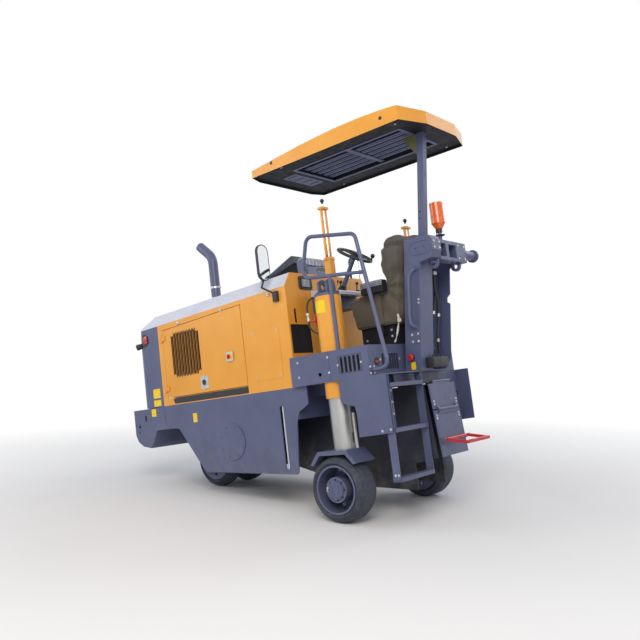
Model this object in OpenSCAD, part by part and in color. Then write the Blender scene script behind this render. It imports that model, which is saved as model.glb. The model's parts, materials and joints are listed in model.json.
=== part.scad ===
// Small cold planer on four solid tyres: engine in front, operator at the rear, drum between the axles.
// The body is drawn level, with x forward, y to its left and z up from the rear wheels' ground line,
// and is then set down nose-low on its two rear legs as it parks.

/* [Stance] */
// Nose-down slope of the parked body, in degrees
body_pitch = 7.9; // [7:0.1:8.5]

/* [Wheels] */
// Outside diameter of the four solid tyres
tyre_d = 560; // [540:5:570]
// Width of a rear tyre
rear_tyre_w = 260; // [220:5:264]
// Width of a front tyre
front_tyre_w = 200; // [160:5:210]
// Outside diameter of the steel rim inside a tyre
rim_d = 415; // [380:5:430]
// Diameter of the hub cap at a wheel's centre
hub_d = 215; // [160:5:230]
// Distance between the centres of the two rear tyres
rear_track = 1320; // [1310:2:1330]
// Distance between the centres of the two front tyres
front_track = 400; // [380:5:410]
// Distance from the rear wheels to the front wheels, along the body
wheelbase = 2010; // [2000:5:2020]

/* [Frame] */
// Width over the two side plates
frame_w = 1300; // [1290:2:1310]
// Thickness of a side plate
plate_t = 12; // [8:1:16]
// Height of the frame's top line
frame_top_z = 1190; // [1180:1:1200]
// Foremost point of the bumper
bumper_x = 2857; // [2820:1:2880]
// Diameter of the bolted cover over the drum's drive
cover_d = 354; // [300:2:380]

/* [Hood] */
// Rear wall of the hood
hood_rear_x = 420; // [415:1:425]
// Front edge of the yellow hood, where the nose begins
hood_front_x = 2313; // [2305:1:2320]
// Foremost point of the nose
nose_x = 2741; // [2720:1:2760]
// Height of the hood's side at its rear wall
hood_rear_z = 2130; // [2120:1:2140]
// Downward slope of the hood towards the front, in degrees
hood_slope = 2.3; // [2:0.1:2.6]
// Height of the pale top cover over the hood's sides
cover_h = 130; // [110:1:140]
// Width of the flat middle of the top cover
cover_flat_w = 1120; // [1060:5:1160]
// Wall thickness of the hood's sheet metal
sheet_t = 8; // [5:1:10]
// Number of louvre slots in an engine door
louvre_count = 10; // [6:1:12]
// Diameter of the exhaust pipe
exhaust_d = 105; // [90:1:120]
// Height of the exhaust pipe's straight part above the body's ground line
exhaust_z = 2700; // [2600:5:2800]

/* [Milling drum] */
// Forward place of the drum's axle
drum_x = 1320; // [1315:1:1325]
// Height of the drum's axle above the body's ground line
drum_z = 753; // [748:1:765]
// Sideways place of the drum's middle
drum_y = -90; // [-95:1:-85]
// Cutting width
drum_w = 500; // [480:5:500]
// Diameter of the drum's tube
drum_d = 380; // [340:5:390]
// Height of a tool holder above the tube
holder_h = 46; // [36:1:50]
// Length of a cutting tool above its holder
tool_l = 34; // [26:1:36]
// Number of cutting tools
tool_count = 48; // [24:2:60]
// Diameter of the drum's axle
drum_axle_d = 120; // [90:2:140]

/* [Legs] */
// Sideways place of a rear leg's axis
leg_y = 570; // [566:1:572]
// Outside diameter of a leg's fixed tube
leg_tube_d = 236; // [228:1:238]
// Outside diameter of a leg's sliding column
leg_column_d = 200; // [190:1:206]
// Lower end of a leg's fixed tube
leg_tube_z = 1050; // [1040:1:1060]
// Upper end of a leg's fixed tube
leg_top_z = 1950; // [1930:1:1970]
// Outside diameter of the front column
front_column_d = 150; // [130:1:160]

/* [Platform] */
// Width over the platform's side boxes
platform_w = 1400; // [1396:1:1410]
// Height of the operator's deck
deck_z = 1455; // [1445:1:1465]
// Rear face of the side boxes
box_rear_x = -450; // [-455:1:-445]
// Diameter of the handrail's tube
rail_d = 34; // [28:1:40]

/* [Canopy] */
// Length of the canopy
canopy_l = 1862; // [1800:2:1900]
// Width of the canopy
canopy_w = 1112; // [1050:2:1160]
// Height of the canopy's lower edge above the body's ground line
canopy_z = 3270; // [3230:5:3300]
// Height of the canopy's shell at its crown
canopy_h = 150; // [140:1:170]
// Side of the square canopy post
post_w = 62; // [56:1:76]

/* [Clearances] */
// Gap between pieces that are seated on each other
seat_gap = 0.3; // [0.2:0.1:0.5]
// Radial gap of a shaft or column in its bore
run_gap = 0.06; // [0.03:0.01:0.09]
// Gap beside a piece that moves
move_gap = 6; // [5:0.5:8]

/* [Hidden] */
$fn = 64;

slate = "#4c5268";
dark = "#2b2f3c";
yellow = "#e8a33a";
pale = "#cdd0dc";
steel = "#9fa4ae";
black = "#1d1f24";

wheel_r = tyre_d / 2;
rear_wheel_z = wheel_r / cos(body_pitch);
front_wheel_z = (wheel_r + wheelbase * sin(body_pitch)) / cos(body_pitch);
left_and_right = [1, -1];

frame_y = frame_w / 2;
skirt_in = frame_y - plate_t;
deck_under = frame_top_z - plate_t;
platform_y = platform_w / 2;

// A flat outline in x and z, as a plate from y to y + t
module side_plate(y, t) {
    translate([0, y + t, 0]) rotate([90, 0, 0]) linear_extrude(t) children();
}

// A flat outline in y and z, as a plate from x to x + t
module cross_plate(x, t) {
    translate([x, 0, 0]) rotate([90, 0, 90]) linear_extrude(t) children();
}

// A box from its lowest to its highest corner
module span(low, high) {
    translate(low) cube(high - low);
}

// A cylinder along y from y0 to y1 at a place in x and z
module y_rod(x, z, y0, y1, d) {
    translate([x, y1, z]) rotate([90, 0, 0]) cylinder(d = d, h = y1 - y0);
}

// A cylinder between any two points
module rod(a, b, d) {
    v = b - a;
    translate(a) rotate([0, acos(v.z / norm(v)), atan2(v.y, v.x)]) cylinder(d = d, h = norm(v));
}

// A slot with round ends, centred, lying along x
module slot(length, width) {
    square([length - width, width], center = true);
    for (end = [-1, 1]) translate([end * (length - width) / 2, 0]) circle(d = width);
}

function unit(v) = v / norm(v);
function world_x(p) = p.x * cos(body_pitch) + p.y * sin(body_pitch);

// A round tube bent in the x-y plane through the given corners
module bent_tube(corners, d, bend) {
    last = len(corners) - 1;
    ways = [for (i = [0 : last - 1]) unit(corners[i + 1] - corners[i])];
    turns = [for (i = [1 : last - 1]) atan2(cross(ways[i - 1], ways[i]), ways[i - 1] * ways[i])];
    trims = [for (i = [0 : last]) i == 0 || i == last ? 0 : bend * tan(abs(turns[i - 1]) / 2)];
    for (i = [0 : last - 1]) {
        start = corners[i] + ways[i] * trims[i];
        length = norm(corners[i + 1] - corners[i]) - trims[i] - trims[i + 1];
        translate([start.x, start.y, 0]) rotate([0, 90, atan2(ways[i].y, ways[i].x)])
            cylinder(d = d, h = length);
    }
    for (i = [1 : last - 1]) {
        way = atan2(ways[i - 1].y, ways[i - 1].x);
        start = corners[i] - ways[i - 1] * trims[i];
        side = turns[i - 1] > 0 ? 1 : -1;
        centre = start + side * bend * [-sin(way), cos(way)];
        translate([centre.x, centre.y, 0])
            rotate([0, 0, side > 0 ? way - 90 : way + 90 - abs(turns[i - 1])])
            rotate_extrude(angle = abs(turns[i - 1])) translate([bend, 0]) circle(d = d, $fn = 32);
    }
}

// The level body, set down as it parks, with the origin under its middle
module parked() {
    translate([-mid_x, 0, 0]) rotate([0, body_pitch, 0]) children();
}

// Frame

bumper_top_z = 1184;
bumper_low = [2597, 760];
arch_front = [2471, 944];
arch_rear = [2110, 944];
skirt_low_front = [1746, 478];
skirt_low_rear = [506, 409];
skirt_waist = [455, 880];
skirt_step = [300, 1030];

module skirt_outline() {
    polygon([
        [bumper_x - 4, bumper_top_z], [bumper_x - 8, 914], [bumper_x - 46, 838], [bumper_x - 130, 784],
        bumper_low, [2560, 800], arch_front, arch_rear + [40, 0], arch_rear - [12, 14],
        skirt_low_front + [18, 16], skirt_low_front - [16, 1], skirt_low_rear + [22, 1],
        skirt_low_rear + [-3, 22], skirt_waist, skirt_waist + [-40, 90], skirt_step + [60, -35],
        skirt_step, [skirt_step.x, frame_top_z], [hood_front_x + 20, frame_top_z],
        [hood_front_x + 24, bumper_top_z]
    ]);
}

scale_x = 630;
scale_low_z = 458;
scale_top_z = 1040;
rod_low_z = scale_low_z - 6;
rod_top_z = scale_top_z + 6;
bumper_wall = 10;

module skirts() {
    for (s = left_and_right) {
        y = s > 0 ? skirt_in : -frame_y;
        difference() {
            side_plate(y, plate_t) skirt_outline();
            side_plate(y - 1, plate_t + 2) {
                translate([scale_x, (scale_low_z + scale_top_z) / 2]) rotate(90) slot(scale_top_z - scale_low_z, 46);
                translate(step_slot) rotate(90) slot(step_slot_size.x, step_slot_size.y);
            }
            y_rod(lash_x, lash_z, y - 1, y + plate_t + 1, lash_d);
        }
        for (z = [rod_low_z - rod_bracket, rod_top_z])
            span([scale_x - 18, s > 0 ? skirt_in - 30 : -skirt_in - 1, z],
                [scale_x + 18, s > 0 ? skirt_in + 1 : -skirt_in + 30, z + rod_bracket]);
        difference() {
            y_rod(drum_x, drum_z, s > 0 ? frame_y : -frame_y - 8, s > 0 ? frame_y + 8 : -frame_y, cover_d);
            for (a = [20 : 45 : 335])
                y_rod(drum_x + cos(a) * (cover_d / 2 - 24), drum_z + sin(a) * (cover_d / 2 - 24),
                    s > 0 ? frame_y + 4 : -frame_y - 9, s > 0 ? frame_y + 9 : -frame_y - 4, 15);
        }
    }
}

lash_x = 2770;
lash_z = 1000;
lash_d = 32;

module bumper() {
    difference() {
        side_plate(-skirt_in, 2 * skirt_in)
            polygon([
                [bumper_x, bumper_top_z], [bumper_x - 8, 914], [bumper_x - 46, 838],
                [bumper_x - 130, 784], bumper_low, [2560, 800], arch_front,
                [arch_front.x, bumper_top_z]
            ]);
        side_plate(-skirt_in - 1, 2 * skirt_in + 2)
            polygon([
                [bumper_x - bumper_wall, bumper_top_z - bumper_wall], [bumper_x - 8 - bumper_wall, 916],
                [bumper_x - 54, 846], [bumper_x - 136, 794], [bumper_low.x + 6, bumper_low.y + bumper_wall],
                [2570, 804], [arch_front.x + bumper_wall, arch_front.y + 6],
                [arch_front.x + bumper_wall, bumper_top_z - bumper_wall]
            ]);
    }
}

sleeve_x = wheelbase;
sleeve_wall = 18;
sleeve_low_z = 1100;
sleeve_top_z = 1620;
spar_low_z = 1090;
spar_left = [160, 440];
spar_right = [-440, -360];
spar_rear_x = -500;
rod_bracket = 14;
rear_bulkhead_x = 430;

step_slot = [2650, 1085];
step_slot_size = [66, 26];

module side_frame() {
    color(slate) parked() {
        skirts();
        bumper();
    }
}

// Deck under the engine, the front sleeve, the bulkhead and the spars that carry the platform
module deck_frame() {
    half = skirt_in - seat_gap;
    color(slate) parked() {
        difference() {
            union() {
                span([rear_bulkhead_x, -half, deck_under], [arch_front.x - seat_gap, half, frame_top_z]);
                span([sleeve_x - 130, -half, sleeve_low_z], [sleeve_x + 130, half, deck_under]);
                translate([sleeve_x, 0, sleeve_low_z])
                    cylinder(d = front_column_d + 2 * sleeve_wall, h = sleeve_top_z - sleeve_low_z);
                span([rear_bulkhead_x, -half, 900], [rear_bulkhead_x + plate_t, half, deck_under]);
                for (s = [spar_left, spar_right])
                    span([spar_rear_x, s[0], spar_low_z], [rear_bulkhead_x, s[1], frame_top_z]);
                span([spar_rear_x, spar_right[0], chute_top_z + 12], [spar_rear_x + 60, spar_left[1], frame_top_z]);
            }
            translate([sleeve_x, 0, sleeve_low_z - 1])
                cylinder(d = front_column_d + 2 * run_gap, h = sleeve_top_z - sleeve_low_z + 2);
            span([rear_bulkhead_x - 1, chute_right - seat_gap, 890],
                [rear_bulkhead_x + plate_t + 1, chute_left + seat_gap, chute_top_z + seat_gap]);
        }
    }
}

// Drum housing and the chute behind it

box_front_x = drum_x + drum_d / 2 + holder_h + tool_l + 8;
box_rear_wall_x = drum_x - drum_d / 2 - holder_h - tool_l - 22;
box_left = drum_y + drum_w / 2 + 20;
box_right = drum_y - drum_w / 2 - 20;
box_low_z = 470;
box_top_z = 1090;
chute_left = 142;
chute_right = -342;
chute_top_z = 1078;
chute_rear_x = -600;
chute_foot_x = -410;

module drum_box() {
    color(dark) parked() {
        difference() {
            union() {
                for (y = [box_left, box_right - plate_t])
                    side_plate(y, plate_t)
                        polygon([
                            [box_front_x, box_low_z], [box_front_x, deck_under - seat_gap],
                            [box_rear_wall_x, deck_under - seat_gap], [box_rear_wall_x, box_low_z]
                        ]);
                span([box_front_x, -skirt_in + seat_gap, 600],
                    [box_front_x + 10, skirt_in - seat_gap, deck_under - seat_gap]);
                span([box_rear_wall_x - 10, -skirt_in + seat_gap, box_low_z],
                    [box_rear_wall_x, skirt_in - seat_gap, deck_under - seat_gap]);
                span([box_front_x - 2, box_right - plate_t, box_low_z], [box_front_x + 10, box_left + plate_t, 610]);
                span([box_rear_wall_x, box_right, box_top_z - 10], [box_front_x, box_left, box_top_z]);
            }
            y_rod(drum_x, drum_z, box_right - 50, box_left + 50, drum_axle_d + 2 * run_gap);
            span([box_rear_wall_x - 11, chute_right + 10, box_low_z - 1],
                [box_rear_wall_x + 1, chute_left - 10, 1000]);
        }
        for (y = [box_left + plate_t, box_right - plate_t - 30])
            difference() {
                y_rod(drum_x, drum_z, y, y + 30, drum_axle_d + 70);
                y_rod(drum_x, drum_z, y - 1, y + 31, drum_axle_d + 2 * run_gap);
            }
    }
}

module chute() {
    front_x = box_rear_wall_x - 10 - seat_gap;
    color(dark) parked() {
        for (y = [chute_left - 10, chute_right])
            side_plate(y, 10)
                polygon([
                    [front_x, 450], [front_x, chute_top_z], [chute_rear_x, chute_top_z],
                    [chute_rear_x - (chute_top_z - 440) * tan(flap_rake), 440],
                    [chute_foot_x, 400], [chute_foot_x, 170], [300, 230]
                ]);
        span([chute_rear_x, chute_right, chute_top_z - 8], [front_x, chute_left, chute_top_z]);
        hinge_lugs(flap_hinge, flap_y, flap_barrel_l, [chute_rear_x + 4, chute_top_z - 4]);
    }
}

// Hood, its top cover and the nose

door_front_x = 2232;
door_rear_x = 1030;
door_low_z = 1272;
door_top_front_z = 1990;
door_top_rear_z = 2058;
door_in = 30;
hinge_y = frame_y + 10;
hinge_d = 16;
hinge_pin_d = 8;
hinge_heights = [1340, 1880];

function shoulder_z(x) = hood_rear_z - (x - hood_rear_x) * tan(hood_slope);

module door_outline(gap) {
    polygon([
        [door_rear_x - gap, door_low_z - gap], [door_front_x + gap, door_low_z - gap],
        [door_front_x + gap, door_top_front_z + gap], [door_rear_x - gap, door_top_rear_z + gap]
    ]);
}

module hood_section() {
    polygon([
        [-frame_y, 0], [-cover_flat_w / 2, cover_h], [cover_flat_w / 2, cover_h], [frame_y, 0]
    ]);
}

// The hood's sloped upper part, as a solid from its rear wall to the front end of the nose
module hood_crown(inset) {
    translate([hood_rear_x, 0, hood_rear_z]) rotate([0, hood_slope, 0])
        cross_plate(-40, nose_x - hood_rear_x + 100)
        polygon([
            [-frame_y + 1.6 * inset, -20], [-frame_y + 1.6 * inset, 0.4 * inset],
            [-cover_flat_w / 2 + 0.4 * inset, cover_h - inset],
            [cover_flat_w / 2 - 0.4 * inset, cover_h - inset],
            [frame_y - 1.6 * inset, 0.4 * inset], [frame_y - 1.6 * inset, -20]
        ]);
}

module hood_shell() {
    color(yellow) parked() {
        difference() {
            union() {
                for (y = [frame_y - sheet_t, -frame_y])
                    side_plate(y, sheet_t)
                        polygon([
                            [hood_rear_x, frame_top_z], [hood_front_x, frame_top_z],
                            [hood_front_x, shoulder_z(hood_front_x)], [hood_rear_x, hood_rear_z]
                        ]);
                cross_plate(hood_rear_x, sheet_t)
                    polygon([
                        [-frame_y, frame_top_z], [frame_y, frame_top_z], [frame_y, hood_rear_z],
                        [cover_flat_w / 2, hood_rear_z + cover_h], [-cover_flat_w / 2, hood_rear_z + cover_h],
                        [-frame_y, hood_rear_z]
                    ]);
            }
            for (y = [frame_y - sheet_t - 1, -frame_y - 1])
                side_plate(y, sheet_t + 2) door_outline(move_gap);
            cross_plate(hood_rear_x - 1, sheet_t + 2) {
                translate([542, 1850]) rotate(90) slot(140, 32);
                translate([340, 1500]) square([290, 270]);
            }
        }
        for (s = left_and_right) {
            side_plate(s > 0 ? frame_y : -frame_y - 3, 3)
                translate([555, 1296]) square([366, 472]);
            for (z = hinge_heights) {
                translate([door_front_x + move_gap + 2, s * hinge_y, z - 12])
                    cylinder(d = hinge_d, h = 12);
                translate([door_front_x + move_gap + 2, s * hinge_y, z])
                    cylinder(d = hinge_pin_d, h = 60);
                span([door_front_x + move_gap + 2, s > 0 ? frame_y - 1 : -hinge_y - 7, z - 12],
                    [door_front_x + move_gap + 30, s > 0 ? hinge_y + 7 : -frame_y + 1, z]);
            }
        }
    }
}

module hood_top() {
    color(pale) parked() {
        difference() {
            intersection() {
                hood_crown(0);
                side_plate(-frame_y - 1, frame_w + 2) crown_profile(0);
                translate([0, 0, 1900]) linear_extrude(600) hood_plan(0);
            }
            intersection() {
                hood_crown(sheet_t);
                side_plate(-frame_y - 2, frame_w + 4) crown_profile(sheet_t);
                translate([0, 0, 1890]) linear_extrude(620) hood_plan(sheet_t);
            }
            translate([exhaust_x, exhaust_y, 2000]) cylinder(d = exhaust_d + 8, h = 500);
            translate([intake_x, intake_y, 2000]) cylinder(d = intake_d + 2 * seat_gap, h = 500);
        }
    }
}

// Side view of the top cover: it starts behind the rear wall and falls to the nose's front edge
module crown_profile(inset) {
    x0 = hood_rear_x + sheet_t + (inset > 0 ? -1 : seat_gap);
    drop = inset > 0 ? -20 : seat_gap;
    polygon([
        [x0, shoulder_z(x0) + drop], [x0, 2400],
        [hood_front_x + 60, 2400], [hood_front_x + 150, shoulder_z(hood_front_x) + 104 - inset],
        [nose_x - 130, shoulder_z(nose_x) + 30 - inset],
        [nose_x - 90 - inset, shoulder_z(nose_x - 90) + drop]
    ]);
}

nose_corner = 150;
lamp_d = 96;

module hood_plan(inset) {
    nose_plan(inset);
    translate([hood_rear_x, -frame_y + inset]) square([hood_front_x - hood_rear_x, frame_w - 2 * inset]);
}

module nose_plan(inset) {
    polygon([
        [hood_front_x - 1, -frame_y + inset], [nose_x - nose_corner, -frame_y + inset],
        [nose_x - 50 - inset, -frame_y + 60 + inset], [nose_x - inset, -frame_y + nose_corner + inset / 2],
        [nose_x - inset, frame_y - nose_corner - inset / 2], [nose_x - 50 - inset, frame_y - 60 - inset],
        [nose_x - nose_corner, frame_y - inset], [hood_front_x - 1, frame_y - inset]
    ]);
}

module nose_profile(inset) {
    polygon([
        [hood_front_x + (inset > 0 ? -1 : 0), frame_top_z - (inset > 0 ? 1 : 0)],
        [nose_x - inset, frame_top_z - (inset > 0 ? 1 : 0)],
        [nose_x - 18 - inset, 1560], [nose_x - 26 - inset, 1800], [nose_x - 66 - inset, 1960],
        [nose_x - 90 - inset, shoulder_z(nose_x - 90)],
        [hood_front_x + (inset > 0 ? -1 : 0), shoulder_z(hood_front_x)]
    ]);
}

module nose() {
    color(slate) parked() {
        difference() {
            intersection() {
                translate([0, 0, frame_top_z]) linear_extrude(1000) nose_plan(0);
                side_plate(-frame_y - 1, frame_w + 2) nose_profile(0);
            }
            intersection() {
                translate([0, 0, frame_top_z - 10]) linear_extrude(1020) nose_plan(sheet_t);
                side_plate(-frame_y - 2, frame_w + 4) nose_profile(sheet_t);
            }
            for (row = [0 : 8])
                span([nose_x - 120, -330, 1290 + row * 56], [nose_x + 10, 330, 1290 + row * 56 + 34]);
            for (s = left_and_right)
                translate([nose_x - 110, s * 500, 1870]) rotate([0, 90, 0]) cylinder(d = lamp_d, h = 160);
        }
    }
}

module lamps() {
    color("#d9d9d2") parked() {
        for (s = left_and_right)
            translate([nose_x - 62, s * 500, 1870]) rotate([0, 90, 0]) cylinder(d = lamp_d - 2 * seat_gap, h = 30);
    }
}

silencer_z = [1800, 1900];

engine_x = [700, 1560];
engine_half = 300;
engine_top_z = 1900;
cooler_x = [2385, 2455];
cooler_half = 400;
cooler_top_z = 1850;

module engine_block() {
    color(black) parked() {
        span([engine_x[0], -engine_half, frame_top_z + seat_gap], [engine_x[1], engine_half, engine_top_z]);
        span([1500, exhaust_y - 90, silencer_z[0]], [exhaust_x + 90, exhaust_y + 90, silencer_z[1]]);
        span([cooler_x[0], -cooler_half, frame_top_z + seat_gap], [cooler_x[1], cooler_half, cooler_top_z]);
        span([hood_rear_x + sheet_t + seat_gap, 330, 1490], [hood_rear_x + sheet_t + 8, skirt_in, 1780]);
    }
}

intake_x = 1230;
intake_y = -20;
intake_d = 70;
intake_cap_d = 170;
intake_foot_z = 1900 + seat_gap;
intake_top_z = 2320;
exhaust_x = 1926;
exhaust_y = 100;
exhaust_bend = 170;
exhaust_lean = 48;

outlet_cut = [2100, 2945];
outlet_cut_size = [300, 400, 200];
outlet_cut_lean = 6;

module exhaust_and_intake() {
    color(slate) parked() {
        difference() {
            union() {
                translate([exhaust_x, exhaust_y, silencer_z[1] + seat_gap])
                    cylinder(d = exhaust_d, h = exhaust_z - silencer_z[1] - seat_gap);
                translate([exhaust_x + exhaust_bend, exhaust_y, exhaust_z]) rotate([90, 0, 0])
                    rotate([0, 0, 180 - exhaust_lean])
                    rotate_extrude(angle = exhaust_lean) translate([exhaust_bend, 0]) circle(d = exhaust_d);
                translate([exhaust_x + exhaust_bend * (1 - cos(exhaust_lean)), exhaust_y,
                    exhaust_z + exhaust_bend * sin(exhaust_lean)])
                    rotate([0, exhaust_lean, 0]) cylinder(d = exhaust_d, h = 170);
            }
            translate([exhaust_x + exhaust_bend * (1 - cos(exhaust_lean)), exhaust_y,
                exhaust_z + exhaust_bend * sin(exhaust_lean)])
                rotate([0, exhaust_lean, 0]) translate([0, 0, 60]) cylinder(d = exhaust_d - 10, h = 130);
            translate([outlet_cut.x, exhaust_y - outlet_cut_size.y / 2, outlet_cut.y])
                rotate([0, -outlet_cut_lean, 0]) cube(outlet_cut_size);
        }
        translate([intake_x, intake_y, 0]) {
            translate([0, 0, intake_foot_z]) cylinder(d = intake_d, h = intake_top_z - intake_foot_z);
            translate([0, 0, intake_top_z]) cylinder(d1 = intake_d, d2 = intake_cap_d, h = 36);
            translate([0, 0, intake_top_z + 36]) cylinder(d = intake_cap_d, h = 24);
        }
    }
}

module engine_door(s) {
    y = s > 0 ? frame_y - door_in : -frame_y - 2;
    difference() {
        union() {
            side_plate(y, door_in + 2) door_outline(0);
            for (z = hinge_heights) {
                translate([door_front_x + move_gap + 2, s * hinge_y, z + seat_gap]) cylinder(d = hinge_d, h = 50);
                span([door_front_x - 40, s > 0 ? frame_y : -hinge_y - 4, z + seat_gap],
                    [door_front_x + move_gap + 2, s > 0 ? hinge_y + 4 : -frame_y, z + 50]);
            }
        }
        side_plate(s > 0 ? y - 1 : y + sheet_t, door_in + 3 - sheet_t)
            door_outline(-26);
        for (i = [0 : louvre_count - 1]) {
            x = 2082 - i * 400 / (louvre_count - 1);
            side_plate(-800, 1600)
                translate([x, 1706]) rotate(90)
                slot(i == 0 || i == louvre_count - 1 ? 380 : 430, 22);
        }
        for (z = hinge_heights)
            translate([door_front_x + move_gap + 2, s * hinge_y, z - 1])
                cylinder(d = hinge_pin_d + 2 * run_gap, h = 60);
    }
    translate([1228, s * (frame_y + 2), 1580]) rotate([90, 0, 0]) cylinder(d = 60, h = 16, center = true);
}

module engine_door_left() {
    color(yellow) parked() engine_door(1);
}

module engine_door_right() {
    color(yellow) parked() engine_door(-1);
}

// Operator's platform

box_wall = 8;
lower_front_x = -262;
lower_low_z = 700;
lower_rear_x = -600;
recess_x = -470;

module platform() {
    color(slate) parked() {
        difference() {
            union() {
                span([box_rear_x, -platform_y, frame_top_z], [hood_rear_x, platform_y, deck_z]);
                span([lower_rear_x, column_right_y - 8, frame_top_z], [box_rear_x, platform_y, frame_top_z + 10]);
            }
            span([box_rear_x + box_wall, -platform_y + box_wall, frame_top_z + box_wall],
                [hood_rear_x - box_wall, platform_y - box_wall, deck_z - box_wall]);
            for (s = left_and_right)
                translate([0, s * leg_y, frame_top_z - 1])
                    cylinder(d = leg_tube_d + 2 * seat_gap, h = deck_z - frame_top_z + 2);
            for (s = left_and_right) {
                side_plate(s > 0 ? platform_y - box_wall - 1 : -platform_y - 1, box_wall + 2) {
                    for (i = [0 : 4]) translate([-165 - i * 45, 1321]) rotate(90) slot(126, 17);
                    translate([84, 1266]) circle(d = 36);
                }
            }
            cross_plate(box_rear_x - 1, box_wall + 2) {
                translate([585, 1310]) circle(d = 62);
                for (i = [0 : 6]) translate([490 - i * 36, 1310]) rotate(90) slot(126, 15);
            }
        }
    }
}

// Plates that hang below the platform at its two sides, with the walls behind the ladder
module lower_sides() {
    top_z = frame_top_z - seat_gap;
    color(slate) parked() {
        for (s = left_and_right)
            side_plate(s > 0 ? platform_y - box_wall : -platform_y, box_wall)
                polygon([
                    [-110, top_z], [-110, 1030], [-150, 985], [lower_front_x + 12, 960],
                    [lower_front_x, 900], [lower_front_x, lower_low_z], [lower_rear_x, lower_low_z + 15],
                    [lower_rear_x, top_z]
                ]);
        span([recess_x, spar_left[1] + seat_gap, lower_low_z + 40],
            [recess_x + box_wall, platform_y - box_wall + 1, top_z]);
        span([recess_x, -platform_y + box_wall - 1, lower_low_z + 40],
            [recess_x + box_wall, spar_right[0] - seat_gap, top_z]);
    }
}

ladder_in = 156;
ladder_out = platform_y - 20;
stringer_t = 10;
treads = [1118, 748, 351];

module ladder() {
    color(slate) parked() {
        for (y = [ladder_in, ladder_out - stringer_t])
            side_plate(y, stringer_t)
                polygon([
                    [lower_rear_x - 4, 330], [lower_rear_x + 66, 330], [lower_rear_x + 66, lower_low_z],
                    [lower_rear_x + 66, frame_top_z - seat_gap], [lower_rear_x - 4, frame_top_z - seat_gap]
                ]);
        for (z = treads)
            span([lower_rear_x - 14, ladder_in + stringer_t, z - 34],
                [lower_rear_x + 76, ladder_out - stringer_t, z]);
    }
}

// Rear legs

crown_h = 130;

module leg_sleeves() {
    color(yellow) parked()
        for (s = left_and_right)
            difference() {
                translate([0, s * leg_y, leg_tube_z]) cylinder(d = leg_tube_d, h = leg_top_z - leg_tube_z);
                translate([0, s * leg_y, leg_tube_z - 1])
                    cylinder(d = leg_column_d + 2 * run_gap, h = leg_top_z - leg_tube_z - 9);
            }
}

module leg_crowns() {
    color(slate) parked()
        for (s = left_and_right) {
            translate([0, s * leg_y, leg_top_z + seat_gap]) cylinder(d = leg_tube_d - 4, h = 24);
            for (x = [-46, 46])
                difference() {
                    translate([x, s * leg_y, leg_top_z]) {
                        span([-10, -62, 20], [10, 62, 96]);
                        translate([-10, 0, 96]) rotate([0, 90, 0]) cylinder(d = 124, h = 20);
                    }
                    translate([x - 11, s * leg_y, leg_top_z + 92]) rotate([0, 90, 0]) cylinder(d = 56, h = 22);
                }
        }
}

hub_gap = 6;
carrier_out = rear_track / 2 - rear_tyre_w / 2 - hub_gap;
carrier_t = 28;
fender_z = rear_wheel_z + 325;
fender_band = 36;

module leg_column(s) {
    difference() {
        translate([0, s * leg_y, fender_z + seat_gap]) cylinder(d = leg_column_d, h = 960);
        translate([-leg_column_d / 2 - 1, s * leg_y, fender_z + 90]) rotate([90, 0, 90])
            linear_extrude(60) rotate(90) slot(90, 34);
    }
    translate([-142, s * (leg_y + 20), fender_z + seat_gap]) cylinder(d = 30, h = 300);
}

module leg_column_left() {
    color(steel) parked() leg_column(1);
}

module leg_column_right() {
    color(steel) parked() leg_column(-1);
}

module fender(s) {
    y0 = s > 0 ? carrier_out - carrier_t : -rear_track / 2 - rear_tyre_w / 2 + 14;
    width = rear_track / 2 + rear_tyre_w / 2 - 14 - carrier_out + carrier_t;
    side_plate(y0, width)
        polygon([
            [-155, fender_z], [155, fender_z], [248, fender_z - 110], [214, fender_z - 118],
            [140, fender_z - 34], [-140, fender_z - 34], [-214, fender_z - 118], [-248, fender_z - 110]
        ]);
    plate_y = s > 0 ? carrier_out - carrier_t : -carrier_out;
    difference() {
        side_plate(plate_y, carrier_t)
            polygon([
                [-120, fender_z - 20], [120, fender_z - 20], [120, rear_wheel_z - 60],
                [60, rear_wheel_z - 120], [-60, rear_wheel_z - 120], [-120, rear_wheel_z - 60]
            ]);
        y_rod(0, rear_wheel_z, -carrier_out - 1, carrier_out + 1, 90 + 2 * run_gap);
    }
    y_rod(0, rear_wheel_z, s > 0 ? carrier_out - carrier_t - 110 : -carrier_out + carrier_t,
        s > 0 ? carrier_out - carrier_t : -carrier_out + carrier_t + 110, 180);
}

module fender_left() {
    color(slate) parked() fender(1);
}

module fender_right() {
    color(slate) parked() fender(-1);
}

// Wheels, drawn about their own axle along y, with the dished side at +y

tyre_round = 34;

module tyre(width) {
    rotate([90, 0, 0]) rotate_extrude()
        polygon([
            [rim_d / 2 + seat_gap, -width / 2 + 22], [wheel_r - 52, -width / 2], [wheel_r - 12, -width / 2 + tyre_round],
            [wheel_r, -width / 2 + tyre_round + 40], [wheel_r, width / 2 - tyre_round - 40],
            [wheel_r - 12, width / 2 - tyre_round], [wheel_r - 52, width / 2], [rim_d / 2 + seat_gap, width / 2 - 22]
        ]);
}

module rim(width, shaft_l) {
    difference() {
        rotate([90, 0, 0]) cylinder(d = rim_d, h = width - 24, center = true);
        y_rod(0, 0, -width / 2 + 40, width / 2, rim_d - 36);
        for (a = [30 : 60 : 330])
            y_rod(cos(a) * 150, sin(a) * 150, -width / 2 - 1, width / 2 - 10, 34);
    }
    y_rod(0, 0, -width / 2 + 30, width / 2 - 24, hub_d);
    y_rod(0, 0, width / 2 - 24, width / 2 - 10, hub_d - 60);
    y_rod(0, 0, -width / 2 - shaft_l, -width / 2 + 31, 90);
}

module rear_wheel_place(s) {
    translate([0, s * rear_track / 2, rear_wheel_z]) rotate([0, 0, s > 0 ? 0 : 180]) children();
}

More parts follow.
